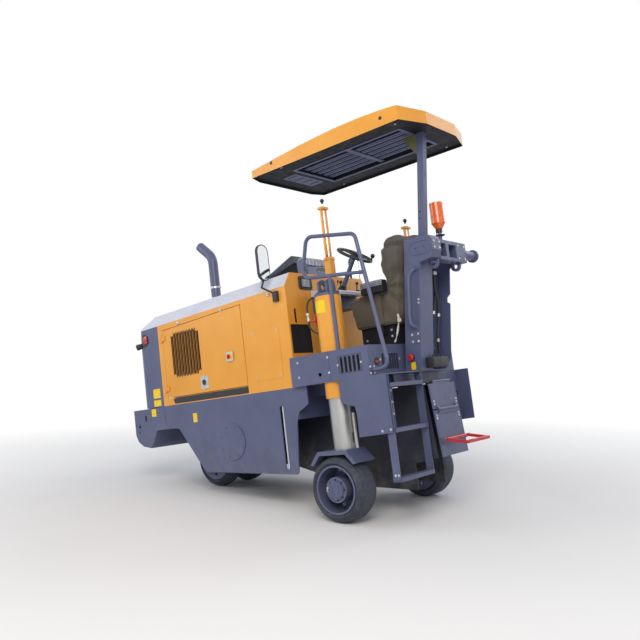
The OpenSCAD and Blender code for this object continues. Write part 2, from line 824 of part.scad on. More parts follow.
module rear_tyre_left() {
    color(black) parked() rear_wheel_place(1) tyre(rear_tyre_w);
}

module rear_tyre_right() {
    color(black) parked() rear_wheel_place(-1) tyre(rear_tyre_w);
}

module rear_rim_left() {
    color(slate) parked() rear_wheel_place(1) rim(rear_tyre_w, carrier_t + hub_gap - 2);
}

module rear_rim_right() {
    color(slate) parked() rear_wheel_place(-1) rim(rear_tyre_w, carrier_t + hub_gap - 2);
}

// Front axle: a lifting column, a fork that steers on its foot, and a wheel on each side of it

lift_foot_z = front_wheel_z + wheel_r + 60;
knuckle_y = front_track / 2 + front_tyre_w / 2 + hub_gap;
knuckle_t = 24;
kingpin_d = 80;

module front_lift() {
    color(steel) parked() {
        translate([sleeve_x, 0, lift_foot_z]) cylinder(d = front_column_d, h = sleeve_top_z - lift_foot_z - 40);
        translate([sleeve_x, 0, lift_foot_z - 40]) cylinder(d = kingpin_d, h = 41);
    }
}

module front_axle() {
    color(slate) parked() {
        difference() {
            span([sleeve_x - 90, -knuckle_y - knuckle_t, lift_foot_z - 46],
                [sleeve_x + 90, knuckle_y + knuckle_t, lift_foot_z - seat_gap]);
            translate([sleeve_x, 0, lift_foot_z - 41]) cylinder(d = kingpin_d + 2 * run_gap, h = 60);
        }
        for (s = left_and_right) {
            difference() {
                side_plate(s > 0 ? knuckle_y : -knuckle_y - knuckle_t, knuckle_t)
                    polygon([
                        [sleeve_x - 90, lift_foot_z - 46], [sleeve_x + 90, lift_foot_z - 46],
                        [sleeve_x + 150, front_wheel_z - 20], [sleeve_x + 90, front_wheel_z - 130],
                        [sleeve_x - 90, front_wheel_z - 130], [sleeve_x - 130, front_wheel_z - 20]
                    ]);
                y_rod(sleeve_x, front_wheel_z, -knuckle_y - knuckle_t - 1, knuckle_y + knuckle_t + 1,
                    90 + 2 * run_gap);
            }
            y_rod(sleeve_x, front_wheel_z, s > 0 ? knuckle_y + knuckle_t : -knuckle_y - knuckle_t - 70,
                s > 0 ? knuckle_y + knuckle_t + 70 : -knuckle_y - knuckle_t, 150);
        }
    }
}

module front_wheel_place(s) {
    translate([sleeve_x, s * front_track / 2, front_wheel_z]) rotate([0, 0, s > 0 ? 180 : 0]) children();
}

module front_tyre_left() {
    color(black) parked() front_wheel_place(1) tyre(front_tyre_w);
}

module front_tyre_right() {
    color(black) parked() front_wheel_place(-1) tyre(front_tyre_w);
}

module front_rim_left() {
    color(slate) parked() front_wheel_place(1) rim(front_tyre_w, knuckle_t + hub_gap - 2);
}

module front_rim_right() {
    color(slate) parked() front_wheel_place(-1) rim(front_tyre_w, knuckle_t + hub_gap - 2);
}

// Milling drum, drawn about its own axle along y: the tools wind from both ends towards the middle

drum_turns = 1.25;

function tool_y(i) = -drum_w / 2 + (i + 0.5) * drum_w / tool_count;
function tool_turn(i) = 360 * drum_turns * abs(tool_y(i)) / (drum_w / 2) + (i % 2) * 180;

module at_tool(i) {
    translate([0, tool_y(i), 0]) rotate([0, tool_turn(i), 0]) translate([0, 0, drum_d / 2]) children();
}

module milling_drum() {
    color(dark) parked() translate([drum_x, drum_y, drum_z]) {
        rotate([90, 0, 0]) cylinder(d = drum_d, h = drum_w, center = true);
        rotate([90, 0, 0]) cylinder(d = drum_axle_d, h = drum_w + 40 + 2 * plate_t + 56, center = true);
        for (i = [0 : tool_count - 1])
            at_tool(i) translate([-30, -17, -12]) cube([60, 34, holder_h + 12]);
    }
}

module drum_tools() {
    color(steel) parked() translate([drum_x, drum_y, drum_z])
        for (i = [0 : tool_count - 1])
            at_tool(i) translate([0, 0, holder_h]) {
                cylinder(d = 30, h = 8);
                translate([0, 0, 8]) cylinder(d1 = 24, d2 = 8, h = tool_l - 8);
            }
}

// Depth gauges and bright rods

// Each gauge as its place in x and y, the top of its square tube and the height of its bracket
gauges = [[50, 416, 2330, 2790], [-250, -495, 2183, 2637]];
gauge_w = 68;
gauge_wall = 7;

module depth_gauges() {
    color(yellow) parked()
        for (g = gauges)
            translate([g.x, g.y, 0]) {
                difference() {
                    span([-gauge_w / 2, -gauge_w / 2, deck_z], [gauge_w / 2, gauge_w / 2, g[2]]);
                    span([gauge_wall - gauge_w / 2, gauge_wall - gauge_w / 2, deck_z + 8],
                        [gauge_w / 2 - gauge_wall, gauge_w / 2 - gauge_wall, g[2] - 8]);
                }
                for (y = [-26, 26]) translate([0, y, g[2]]) cylinder(d = 16, h = g[3] - g[2]);
                span([-22, -42, g[3]], [22, 42, g[3] + 12]);
            }
}

module chrome_rods() {
    color("#d5d9e0") parked() {
        for (g = gauges) {
            translate([g.x, g.y, g[2] + seat_gap]) cylinder(d = 22, h = g[3] - g[2] - 2 * seat_gap);
            translate([g.x, g.y, g[3] + 12 + seat_gap]) cylinder(d = 14, h = 60);
            translate([g.x, g.y, g[3] + 76]) sphere(d = 36);
        }
        for (s = left_and_right)
            translate([scale_x, s * (skirt_in - 14), rod_low_z + seat_gap])
                cylinder(d = 27.4, h = rod_top_z - rod_low_z - 2 * seat_gap);
    }
}

// Rear column: a boxed left post, a right plate and the block that carries the conveyor hooks

column_foot_z = frame_top_z + 10;
column_front_x = -462;
column_d = 160;
column_top_z = 2354;
column_left = [-30, 180];
column_right_y = -360;

function column_x(z) = column_front_x - (z - column_foot_z) * tan(body_pitch);

module rear_column() {
    color(slate) parked() {
        foot = column_foot_z + seat_gap;
        difference() {
            side_plate(column_left[0], column_left[1] - column_left[0])
                polygon([
                    [column_x(foot), foot], [column_x(column_top_z), column_top_z],
                    [column_x(column_top_z) - column_d, column_top_z], [column_x(foot) - column_d, foot]
                ]);
            side_plate(column_left[0] + 8, column_left[1] - column_left[0] - 16)
                polygon([
                    [column_x(foot) - 8, foot + 8], [column_x(column_top_z) - 8, column_top_z - 8],
                    [column_x(column_top_z) - column_d + 8, column_top_z - 8],
                    [column_x(foot) - column_d + 8, foot + 8]
                ]);
        }
        side_plate(column_right_y, column_left[0] - column_right_y)
            polygon([
                [column_x(foot), foot], [column_x(2200), 2200], [column_x(2200) - 8, 2200], [column_x(foot) - 8, foot]
            ]);
        side_plate(column_right_y - 8, 8)
            polygon([
                [column_x(foot), foot], [column_x(2230), 2230], [beam_front_x, 2230], [beam_front_x, 2165],
                [column_x(2100) - 150, 2100], [column_x(1880) - 150, 1880], [column_x(1850) - 120, 1850],
                [column_x(1810) - 120, 1810], [column_x(1790) - 150, 1790], [column_x(1290) - 150, 1290],
                [column_x(foot) - 90, foot]
            ]);
    }
}

beam_front_x = -780;
beam_rear_x = -885;
beam_z = [2140, 2320];
head_in = 34;
cheek_y = -440;
hook_pin = [-822, 2112];
hook_bore_d = 44;
hook_t = 30;
hooks_y = [47, -348];
beam_windows = [[-77, 30], [-259, -126]];
roller = [-845, 2228];
roller_end_y = -634;
beacon_x = -805;
beacon_y = -150;

module hook_plate(y) {
    difference() {
        side_plate(y, hook_t)
            union() {
                polygon([
                    [beam_front_x - 4, beam_z[0] + 1], [beam_rear_x + 4, beam_z[0] + 1],
                    [hook_pin.x - 45, hook_pin.y], [hook_pin.x + 30, hook_pin.y - 30]
                ]);
                translate(hook_pin) circle(r = 46);
            }
        y_rod(hook_pin.x, hook_pin.y, y - 1, y + hook_t + 1, hook_bore_d);
    }
}

module hook_block() {
    color(slate) parked() {
        difference() {
            union() {
                side_plate(head_in, column_left[1] - head_in)
                    polygon([
                        [column_x(2350) - column_d - seat_gap, 2350], [beam_rear_x + 12, 2346],
                        [beam_rear_x - 14, 2310], [beam_rear_x - 14, 2215], [beam_rear_x + 8, 2150],
                        [column_x(2132) - column_d - seat_gap, 2132]
                    ]);
                span([beam_rear_x, cheek_y, beam_z[0]], [beam_front_x, head_in + 1, beam_z[1]]);
                for (y = hooks_y) hook_plate(y);
            }
            for (window = beam_windows)
                span([beam_rear_x - 1, window[0], beam_z[0] + 30], [beam_front_x - 12, window[1], beam_z[1] - 32]);
        }
        y_rod(roller.x, roller.y, roller_end_y, cheek_y + 1, 86);
        y_rod(roller.x, roller.y, roller_end_y - 20, roller_end_y + 1, 120);
        translate([beacon_x, beacon_y, beam_z[1] - 1]) cylinder(d = 34, h = 130);
    }
}

canopy_mid_x = -119;
canopy_skin = 6;
post_x = -745;
post_y = 55;
frame_bars_x = [-820, -230, 390];

module canopy_plan(inset) {
    half = canopy_w / 2 - inset;
    x0 = canopy_mid_x - canopy_l / 2 + inset;
    x1 = canopy_mid_x + canopy_l / 2 - inset;
    polygon([
        [x0, -250], [x0 + 95 - inset / 2, -half], [x1 - 52 + inset / 2, -half], [x1, -400],
        [x1, 400], [x1 - 52 + inset / 2, half], [x0 + 95 - inset / 2, half], [x0, 250]
    ]);
}

// Side view of the canopy: a long arch that is lowest at the front
module canopy_profile(inset) {
    x0 = canopy_mid_x - canopy_l / 2;
    steps = 14;
    polygon(concat(
        [[x0 + canopy_l + 1, canopy_z - (inset > 0 ? 1 : 0)], [x0 - 1, canopy_z - (inset > 0 ? 1 : 0)]],
        [for (i = [0 : steps])
            let (u = i / steps)
            [x0 - 1 + u * (canopy_l + 2),
                canopy_z + 112 - 45 * u + 4 * (canopy_h - 96) * u * (1 - u) * (1.4 - 0.8 * u) - inset]]
    ));
}

module canopy_shell() {
    color(yellow) parked()
        difference() {
            intersection() {
                translate([0, 0, canopy_z - 1]) linear_extrude(300) canopy_plan(0);
                side_plate(-canopy_w / 2 - 1, canopy_w + 2) canopy_profile(0);
            }
            intersection() {
                translate([0, 0, canopy_z - 2]) linear_extrude(300) canopy_plan(canopy_skin);
                side_plate(-canopy_w / 2 - 1, canopy_w + 2) canopy_profile(canopy_skin);
            }
        }
}

liner_z = canopy_z + 20;
frame_z = canopy_z + 40;

module canopy_post() {
    top_z = liner_z - seat_gap;
    lean = (top_z - column_top_z) * tan(body_pitch);
    color(slate) parked()
        translate([0, post_y - post_w / 2, 0]) side_plate(0, post_w)
            polygon([
                [post_x - post_w / 2, column_top_z + seat_gap], [post_x + post_w / 2, column_top_z + seat_gap],
                [post_x + post_w / 2 - lean, top_z], [post_x - post_w / 2 - lean, top_z]
            ]);
}

// Liner with a window, rails beside the window, three bars across it and ribs above it
module canopy_frame() {
    window = [frame_bars_x[0] + 30, -300, frame_bars_x[2] + 10, 300];
    color(black) parked() {
        translate([0, 0, liner_z]) linear_extrude(20)
            difference() {
                canopy_plan(canopy_skin + seat_gap);
                translate([window[0], window[1]]) square([window[2] - window[0], window[3] - window[1]]);
            }
        for (y = [window[1] - 30, window[3]])
            span([frame_bars_x[0], y, frame_z - 1], [frame_bars_x[2] + 40, y + 30, frame_z + 24]);
        for (x = frame_bars_x) span([x, window[1] - 1, frame_z - 1], [x + 40, window[3] + 1, frame_z + 24]);
        for (y = [-240 : 96 : 240])
            span([frame_bars_x[0] + 1, y, frame_z + 8], [frame_bars_x[2] + 1, y + 44, frame_z + 14]);
    }
}

module beacon_lens() {
    color("#ff5a10") parked()
        translate([beacon_x, beacon_y, beam_z[1] + 129 + seat_gap]) {
            cylinder(d1 = 60, d2 = 122, h = 50);
            translate([0, 0, 50]) cylinder(d = 126, h = 190);
        }
}

// Seat, console and steering

seat_z = 1640;

module seat_base() {
    color(black) parked() {
        span([-420, -200, deck_z + seat_gap], [-60, 200, seat_z]);
        span([-440, 266, 1930], [-200, 336, 2030]);
        span([-340, 258, 1560], [-300, 268, 2000]);
        span([-340, 190, 1560], [-300, 260, 1600]);
    }
}

module seat_cover() {
    color("#5a5443") parked()
        side_plate(-250, 500)
        polygon([
            [10, 1655], [-40, seat_z + seat_gap], [-470, seat_z + seat_gap], [-508, 1700], [-562, 2100],
            [-588, 2400], [-560, 2455], [-460, 2440], [-390, 2330], [-375, 2180], [-400, 2050],
            [-385, 1960], [-60, 1925], [5, 1880]
        ]);
}

console_y = 50;

wheel_centre = [20, 2375];
wheel_tilt = 33;
wheel_hub_h = 40;
column_l = 380;
cluster = [20, 130];
cluster_h = 165;
lid_hinge = [cluster[1] + 16, cluster_h + 4];
lid_open = 12;
lid_l = 400;

module steering_place() {
    translate([wheel_centre.x, console_y, wheel_centre.y]) rotate([0, -wheel_tilt, 0]) children();
}

// Heights above the pale cover, along its slope from the hood's rear wall
module on_hood() {
    translate([hood_rear_x, 0, hood_rear_z]) rotate([0, hood_slope, 0]) translate([0, 0, cover_h]) children();
}

console_rear_x = 205;
console_right = 200;
console_left = 230;
console_z = [1890, 2040];

module console() {
    color(slate) parked() {
        difference() {
            union() {
                span([console_rear_x, console_y - console_right, console_z[0]],
                    [hood_rear_x - seat_gap, console_y + console_left, console_z[1]]);
                steering_place() translate([0, 0, -wheel_hub_h / 2 - seat_gap - column_l])
                    cylinder(d = 44, h = column_l);
                steering_place() translate([0, 0, -wheel_hub_h / 2 - 10]) cylinder(d = 20, h = wheel_hub_h);
            }
            span([hood_rear_x - seat_gap, -column_l, console_z[0] - column_l],
                [hood_rear_x + column_l, column_l, console_z[1] + column_l]);
        }
        on_hood() {
            side_plate(console_y - 225, 450)
                polygon([
                    [cluster[0], seat_gap], [cluster[1], seat_gap], [cluster[1], cluster_h],
                    [cluster[0] + 40, cluster_h]
                ]);
        }
        on_hood() hinge_lugs(lid_hinge, console_y, 300, [cluster[1] - 6, cluster_h - 10]);
    }
}

module console_lid() {
    color(black) parked() on_hood()
        difference() {
            union() {
                translate([lid_hinge.x, console_y - 225, lid_hinge.y]) rotate([0, lid_open, 0])
                    translate([0, 450, 0]) rotate([90, 0, 0]) linear_extrude(450)
                    polygon([[22, -6], [lid_l, -6], [lid_l, 22], [60, 70], [22, 70]]);
                barrel(lid_hinge, console_y, 300);
                translate([lid_hinge.x, console_y - 140, lid_hinge.y]) rotate([0, lid_open, 0])
                    span([0, 0, 0], [30, 280, barrel_d / 2]);
            }
            translate([lid_hinge.x, console_y - 225, lid_hinge.y]) rotate([0, lid_open, 0])
                translate([0, 440, 0]) rotate([90, 0, 0]) linear_extrude(430)
                polygon([[32, -7], [lid_l - 10, -7], [lid_l - 10, 12], [64, 60], [32, 60]]);
            bore(lid_hinge, console_y, 300);
        }
}

module steering_wheel() {
    color(black) parked() steering_place()
        difference() {
            union() {
                rotate_extrude() translate([165, 0]) circle(d = 30, $fn = 32);
                for (a = [0, 120, 240])
                    rotate([0, 0, a]) translate([0, -12, -6]) cube([165, 24, 12]);
                translate([0, 0, -wheel_hub_h / 2]) cylinder(d = 80, h = wheel_hub_h);
            }
            translate([0, 0, -wheel_hub_h / 2 - 1]) cylinder(d = 20 + 2 * run_gap, h = wheel_hub_h - 6);
        }
}

module handrail() {
    color(slate) parked() {
        y = platform_y - 30;
        translate([0, y, 0]) rotate([90, 0, 0])
            bent_tube([
                [box_rear_x - seat_gap, 1243], [-625, 1243], [-448, 2408], [82, 2503],
                [180, 2142], [-486, 2066]
            ], rail_d, 70);
        translate([-128, y, deck_z + seat_gap]) cylinder(d = rail_d, h = 2105 - deck_z);
    }
}

mirror_x = 600;
mirror_y = 716;
mirror_z = [2205, 2550];
mirror_w = 150;
mirror_t = 26;

module mirror_outline(inset) {
    translate([mirror_z[0] + mirror_z[1], 0] / 2) slot(mirror_z[1] - mirror_z[0] - 2 * inset, mirror_w - 2 * inset);
}

module mirror_arms() {
    color(black) parked()
        for (s = left_and_right) {
            difference() {
                translate([mirror_x, s * mirror_y, 0]) rotate([0, -90, 0])
                    translate([0, 0, -mirror_t / 2]) linear_extrude(mirror_t) mirror_outline(0);
                translate([mirror_x - mirror_t / 2 + 4, s * mirror_y, 0]) rotate([0, -90, 0])
                    linear_extrude(20) mirror_outline(9);
            }
            span([505, s > 0 ? frame_y + seat_gap : -frame_y - 30, 2000],
                [560, s > 0 ? frame_y + 30 : -frame_y - seat_gap, 2095]);
            rod([545, s * (frame_y + 20), 2080], [650, s * mirror_y, 2150], 18);
            rod([650, s * mirror_y, 2146], [mirror_x, s * mirror_y, 2240], 18);
        }
}

module mirror_glass() {
    color("#cfd8dc") parked()
        for (s = left_and_right)
            translate([mirror_x - mirror_t / 2 + 4 - seat_gap, s * mirror_y, 0]) rotate([0, -90, 0])
                linear_extrude(3) mirror_outline(9 + seat_gap);
}

// Flap over the chute's mouth, in two hinged plates, and the bail on its lower plate

flap_rake = 4.6;
flap_hinge = [-632, 1092];
flap_t = 8;
flap_w = 452;
flap_y = -96;
flap_mid = 245;
flap_l = 650;
flap_barrel_l = 300;
barrel_d = 26;
pin_d = 14;
lug_t = 16;
bail_z = 508;
bail_lean = -14;
bail_l = 205;
bail_bar = 24;
bail_out = 40;
bail_tip = flap_point([-flap_t - bail_out, -bail_z])
    + turned([-bail_l - bail_bar / 2, -bail_bar / 2], flap_rake + bail_lean);
mid_x = (world_x([bumper_x, bumper_top_z]) + world_x(bail_tip)) / 2;

function turned(p, a) = [p.x * cos(a) + p.y * sin(a), -p.x * sin(a) + p.y * cos(a)];
function flap_point(p) = flap_hinge + turned(p, flap_rake);

// The fixed half of a hinge along y: a pin between two lugs that grow from the point root
module hinge_lugs(at, y, length, root) {
    for (side = [-1, 1])
        side_plate(side > 0 ? y + length / 2 + seat_gap : y - length / 2 - lug_t - seat_gap, lug_t) {
            translate(at) circle(d = barrel_d);
            way = root - at;
            translate(at) rotate(atan2(way.y, way.x)) translate([0, -barrel_d / 2 + 2])
                square([norm(way), barrel_d - 4]);
        }
    y_rod(at.x, at.y, y - length / 2 - 2, y + length / 2 + 2, pin_d);
}

module barrel(at, y, length) {
    y_rod(at.x, at.y, y - length / 2, y + length / 2, barrel_d);
}

module bore(at, y, length) {
    y_rod(at.x, at.y, y - length / 2 - 1, y + length / 2 + 1, pin_d + 2 * run_gap);
}

module flap_frame() {
    translate([flap_hinge.x, 0, flap_hinge.y]) rotate([0, flap_rake, 0]) children();
}

flap_mid_axis = [-flap_t - barrel_d / 2 - 1, -flap_mid];
bail_axis = [-flap_t - bail_out, -bail_z];

module flap_upper() {
    color(slate) parked() flap_frame() {
        difference() {
            union() {
                span([-flap_t, flap_y - flap_w / 2, -flap_mid + 4], [0, flap_y + flap_w / 2, -barrel_d / 2 - 5]);
                barrel([0, 0], flap_y, flap_barrel_l);
                span([-flap_t, flap_y - flap_barrel_l / 2, -30], [0, flap_y + flap_barrel_l / 2, -6]);
            }
            bore([0, 0], flap_y, flap_barrel_l);
        }
        hinge_lugs(flap_mid_axis, flap_y, flap_barrel_l, [-flap_t + 1, -flap_mid + 30]);
    }
}

module flap_lower() {
    color(slate) parked() flap_frame() {
        difference() {
            union() {
                span([-flap_t, flap_y - flap_w / 2, -flap_l], [0, flap_y + flap_w / 2, -flap_mid - 4]);
                barrel(flap_mid_axis, flap_y, flap_barrel_l);
                span([-flap_t - barrel_d / 2, flap_y - flap_barrel_l / 2, -flap_mid - 34],
                    [-flap_t + 1, flap_y + flap_barrel_l / 2, -flap_mid - 4]);
            }
            bore(flap_mid_axis, flap_y, flap_barrel_l);
        }
        hinge_lugs(bail_axis, flap_y, flap_w - 2 * lug_t - 1, [-flap_t + 1, -bail_z - 14]);
    }
}

module bail() {
    color("#c81e2c") parked() flap_frame()
        translate([bail_axis.x, 0, bail_axis.y]) rotate([0, bail_lean, 0])
        difference() {
            union() {
                barrel([0, 0], flap_y, flap_w - 2 * lug_t - 1);
                for (y = [flap_y - flap_w / 2 + lug_t + 8, flap_y + flap_w / 2 - lug_t - 8 - bail_bar])
                    span([-bail_l, y, -bail_bar / 2], [0, y + bail_bar, bail_bar / 2]);
                span([-bail_l - bail_bar / 2, flap_y - flap_w / 2 + lug_t + 8, -bail_bar / 2],
                    [-bail_l + bail_bar / 2, flap_y + flap_w / 2 - lug_t - 8, bail_bar / 2]);
            }
            bore([0, 0], flap_y, flap_w - 2 * lug_t - 1);
        }
}

side_frame();
deck_frame();
drum_box();
chute();
hood_shell();
hood_top();
nose();
engine_block();
exhaust_and_intake();
platform();
lower_sides();
ladder();
leg_sleeves();
leg_crowns();
depth_gauges();
chrome_rods();
rear_column();
hook_block();
canopy_post();
canopy_frame();
canopy_shell();
beacon_lens();
lamps();
seat_base();
seat_cover();
console();
console_lid();
steering_wheel();
handrail();
mirror_arms();
mirror_glass();
engine_door_left();
engine_door_right();
leg_column_left();
leg_column_right();
fender_left();
fender_right();
rear_tyre_left();
rear_tyre_right();
rear_rim_left();
rear_rim_right();
front_lift();
front_axle();
front_tyre_left();
front_tyre_right();
front_rim_left();
front_rim_right();
milling_drum();
drum_tools();
flap_upper();
flap_lower();
bail();
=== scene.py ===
import json
import math

import bmesh
import bpy
from mathutils import Matrix, Vector
from mathutils.bvhtree import BVHTree

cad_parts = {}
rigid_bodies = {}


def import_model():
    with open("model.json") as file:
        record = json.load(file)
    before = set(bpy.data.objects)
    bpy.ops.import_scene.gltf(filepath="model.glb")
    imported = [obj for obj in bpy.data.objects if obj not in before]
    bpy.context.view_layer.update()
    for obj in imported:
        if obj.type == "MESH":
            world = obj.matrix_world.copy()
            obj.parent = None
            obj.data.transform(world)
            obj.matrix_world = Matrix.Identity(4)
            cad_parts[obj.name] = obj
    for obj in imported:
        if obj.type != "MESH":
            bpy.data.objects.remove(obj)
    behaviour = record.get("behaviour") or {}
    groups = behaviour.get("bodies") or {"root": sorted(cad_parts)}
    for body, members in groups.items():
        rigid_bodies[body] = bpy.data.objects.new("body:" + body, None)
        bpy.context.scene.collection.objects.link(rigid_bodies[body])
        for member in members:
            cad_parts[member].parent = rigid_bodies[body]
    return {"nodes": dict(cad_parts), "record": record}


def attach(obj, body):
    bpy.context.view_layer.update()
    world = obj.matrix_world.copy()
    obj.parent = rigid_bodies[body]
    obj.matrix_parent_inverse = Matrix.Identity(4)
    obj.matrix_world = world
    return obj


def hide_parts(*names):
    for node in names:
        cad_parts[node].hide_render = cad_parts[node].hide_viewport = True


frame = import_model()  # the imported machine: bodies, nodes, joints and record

scene = bpy.context.scene
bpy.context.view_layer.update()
print("frame loaded:", len(frame["nodes"]), "nodes")

# The body leans nose-down. Everything below is measured in the level body: x forward, y left, z up, in metres
joints = {joint["name"]: joint for joint in frame["record"]["behaviour"]["joints"]}
bodyUp = Vector(joints["leg_left_slide"]["axis"]).normalized()
bodyForward = Vector((bodyUp.z, 0, -bodyUp.x))
rearHub = Vector(joints["rear_wheel_left_spin"]["pos_m"])
bodyOrigin = Vector((rearHub.x, 0, rearHub.z)) - bodyUp * (rearHub.z / bodyUp.z)
level = Matrix.Translation(bodyOrigin) @ Matrix((bodyForward, Vector((0, 1, 0)), bodyUp)).transposed().to_4x4()


# ---- finishes

def toLinear(hexColour):
    channels = [int(hexColour[i:i + 2], 16) / 255 for i in (1, 3, 5)]
    return [c / 12.92 if c <= 0.04045 else ((c + 0.055) / 1.055) ** 2.4 for c in channels] + [1]


# Inputs take either a plain value or the socket that feeds them
def feed(tree, node, inputs):
    for key, value in inputs.items():
        if isinstance(value, bpy.types.NodeSocket):
            tree.links.new(value, node.inputs[key])
        else:
            node.inputs[key].default_value = value


def addNode(tree, kind, inputs=None, **settings):
    node = tree.nodes.new(kind)
    for key, value in settings.items():
        setattr(node, key, value)
    feed(tree, node, inputs or {})
    return node


def calc(tree, operation, *terms, kind="ShaderNodeMath", out=0):
    return addNode(tree, kind, dict(enumerate(terms)), operation=operation).outputs[out]


def remap(tree, value, low, high, toLow, toHigh):
    return addNode(tree, "ShaderNodeMapRange", {"Value": value, "From Min": low, "From Max": high, "To Min": toLow,
                                                "To Max": toHigh}).outputs["Result"]


def noiseOf(tree, coords, scale, detail, stretch=None):
    if stretch:
        coords = addNode(tree, "ShaderNodeMapping", {"Vector": coords, "Scale": stretch}).outputs["Vector"]
    return addNode(tree, "ShaderNodeTexNoise", {"Vector": coords, "Scale": scale, "Detail": detail}).outputs["Fac"]


# Noise whose stretch from low to high is drawn out over a range
def patchesOf(tree, coords, scale, detail, low, high, toLow=0, toHigh=1, stretch=None):
    return remap(tree, noiseOf(tree, coords, scale, detail, stretch), low, high, toLow, toHigh)


def mixColours(tree, factor, first, second):
    first, second = (toLinear(c) if isinstance(c, str) else c for c in (first, second))
    return addNode(tree, "ShaderNodeMix", {"Factor": factor, 6: first, 7: second}, data_type="RGBA").outputs[2]


def bumpOf(tree, height, strength, distance, under=None):
    inputs = {"Height": height, "Strength": strength, "Distance": distance}
    if under:
        inputs["Normal"] = under
    return addNode(tree, "ShaderNodeBump", inputs).outputs["Normal"]


def startFinish(name):
    material = bpy.data.materials.new(name)
    material.use_nodes = True
    tree = material.node_tree
    return material, tree, tree.nodes["Principled BSDF"], addNode(tree, "ShaderNodeTexCoord").outputs["Object"]


plainSurface = {"mottleScale": 3.0, "dust": 0, "roughScale": 14, "stretch": None, "grain": 0.06, "grainScale": 260,
                "metal": 0.0, "coat": 0.0, "specular": 0.5}


# Paint and plain metal: mottled colour, road dust that thins out with height, uneven gloss and a fine grain
def surfaceFinish(name, look):
    look = {**plainSurface, **look}
    material, tree, shader, coords = startFinish(name)
    mottle = patchesOf(tree, coords, look["mottleScale"], 6, 0.35, 0.7)
    colour = mixColours(tree, mottle, look["colour"], look["shade"])
    if look["dust"]:
        height = addNode(tree, "ShaderNodeSeparateXYZ", {"Vector": coords}).outputs["Z"]
        low = remap(tree, height, 0.0, look["dustHeight"], look["dust"], 0)
        amount = calc(tree, "MULTIPLY", low, patchesOf(tree, coords, 9, 8, 0.4, 0.75))
        colour = mixColours(tree, amount, colour, "#8f887c")
    grain = noiseOf(tree, coords, look["grainScale"], 2, look["stretch"])
    feed(tree, shader, {
        "Base Color": colour, "Normal": bumpOf(tree, grain, look["grain"], 0.002),
        "Roughness": patchesOf(tree, coords, look["roughScale"], 5, 0.3, 0.7, *look["rough"], look["stretch"]),
        "Metallic": look["metal"], "Coat Weight": look["coat"], "Coat Roughness": 0.12,
        "Specular IOR Level": look["specular"]})
    return material


# Solid rubber: moulded rings round the axle, scuffed tread and grey bloom
def rubberFinish(name, look):
    material, tree, shader, coords = startFinish(name)
    axle = joints[look["axle"]]["pos_m"]
    vector = "ShaderNodeVectorMath"
    out = calc(tree, "MULTIPLY", calc(tree, "SUBTRACT", coords, (axle[0], 0, axle[2]), kind=vector), (1, 0, 1),
               kind=vector)
    radius = calc(tree, "LENGTH", out, kind=vector, out="Value")
    rings = calc(tree, "SINE", calc(tree, "MULTIPLY", radius, 2 * math.pi / look["ringPitch"]))
    colour = mixColours(tree, patchesOf(tree, coords, 26, 8, 0.42, 0.7), look["colour"], look["bloom"])
    tread = remap(tree, radius, look["treadRadius"] - 0.012, look["treadRadius"], 0, 0.35)
    fine = bumpOf(tree, noiseOf(tree, coords, 420, 3), 0.25, 0.001)
    feed(tree, shader, {
        "Base Color": mixColours(tree, tread, colour, look["worn"]),
        "Roughness": patchesOf(tree, coords, 40, 5, 0.3, 0.7, 0.55, 0.8),
        "Normal": bumpOf(tree, rings, 0.35, 0.0012, fine)})
    return material


# Woven canvas: two crossed sets of threads, faded in patches
def canvasFinish(name, look):
    material, tree, shader, coords = startFinish(name)
    thread = {"Vector": coords, "Scale": look["threadScale"], "Distortion": 0.6, "Detail": 1.0}
    weave = calc(tree, "MULTIPLY", *[addNode(tree, "ShaderNodeTexWave", thread, bands_direction=way).outputs["Fac"]
                                     for way in ("X", "Z")])
    colour = mixColours(tree, patchesOf(tree, coords, 5, 6, 0.35, 0.7), look["colour"], look["faded"])
    feed(tree, shader, {
        "Base Color": mixColours(tree, remap(tree, weave, 0, 1, 0.25, 0), colour, look["gap"]),
        "Roughness": remap(tree, weave, 0, 1, 0.95, 0.8), "Normal": bumpOf(tree, weave, 0.5, 0.0012),
        "Sheen Weight": 0.25})
    return material


# Coloured lens: clear plastic with moulded flutes
def lensFinish(name, look):
    material, tree, shader, coords = startFinish(name)
    flutes = addNode(tree, "ShaderNodeTexWave", {"Vector": coords, "Scale": look["fluteScale"]}, bands_direction="Z")
    feed(tree, shader, {
        "Base Color": mixColours(tree, patchesOf(tree, coords, 30, 3, 0.3, 0.7), look["colour"], look["shade"]),
        "Roughness": patchesOf(tree, coords, 60, 2, 0.3, 0.7, 0.08, 0.22),
        "Normal": bumpOf(tree, flutes.outputs["Fac"], 0.25, 0.001), "Coat Weight": 0.6,
        "Emission Color": toLinear(look["colour"]), "Emission Strength": look["glow"]})
    return material


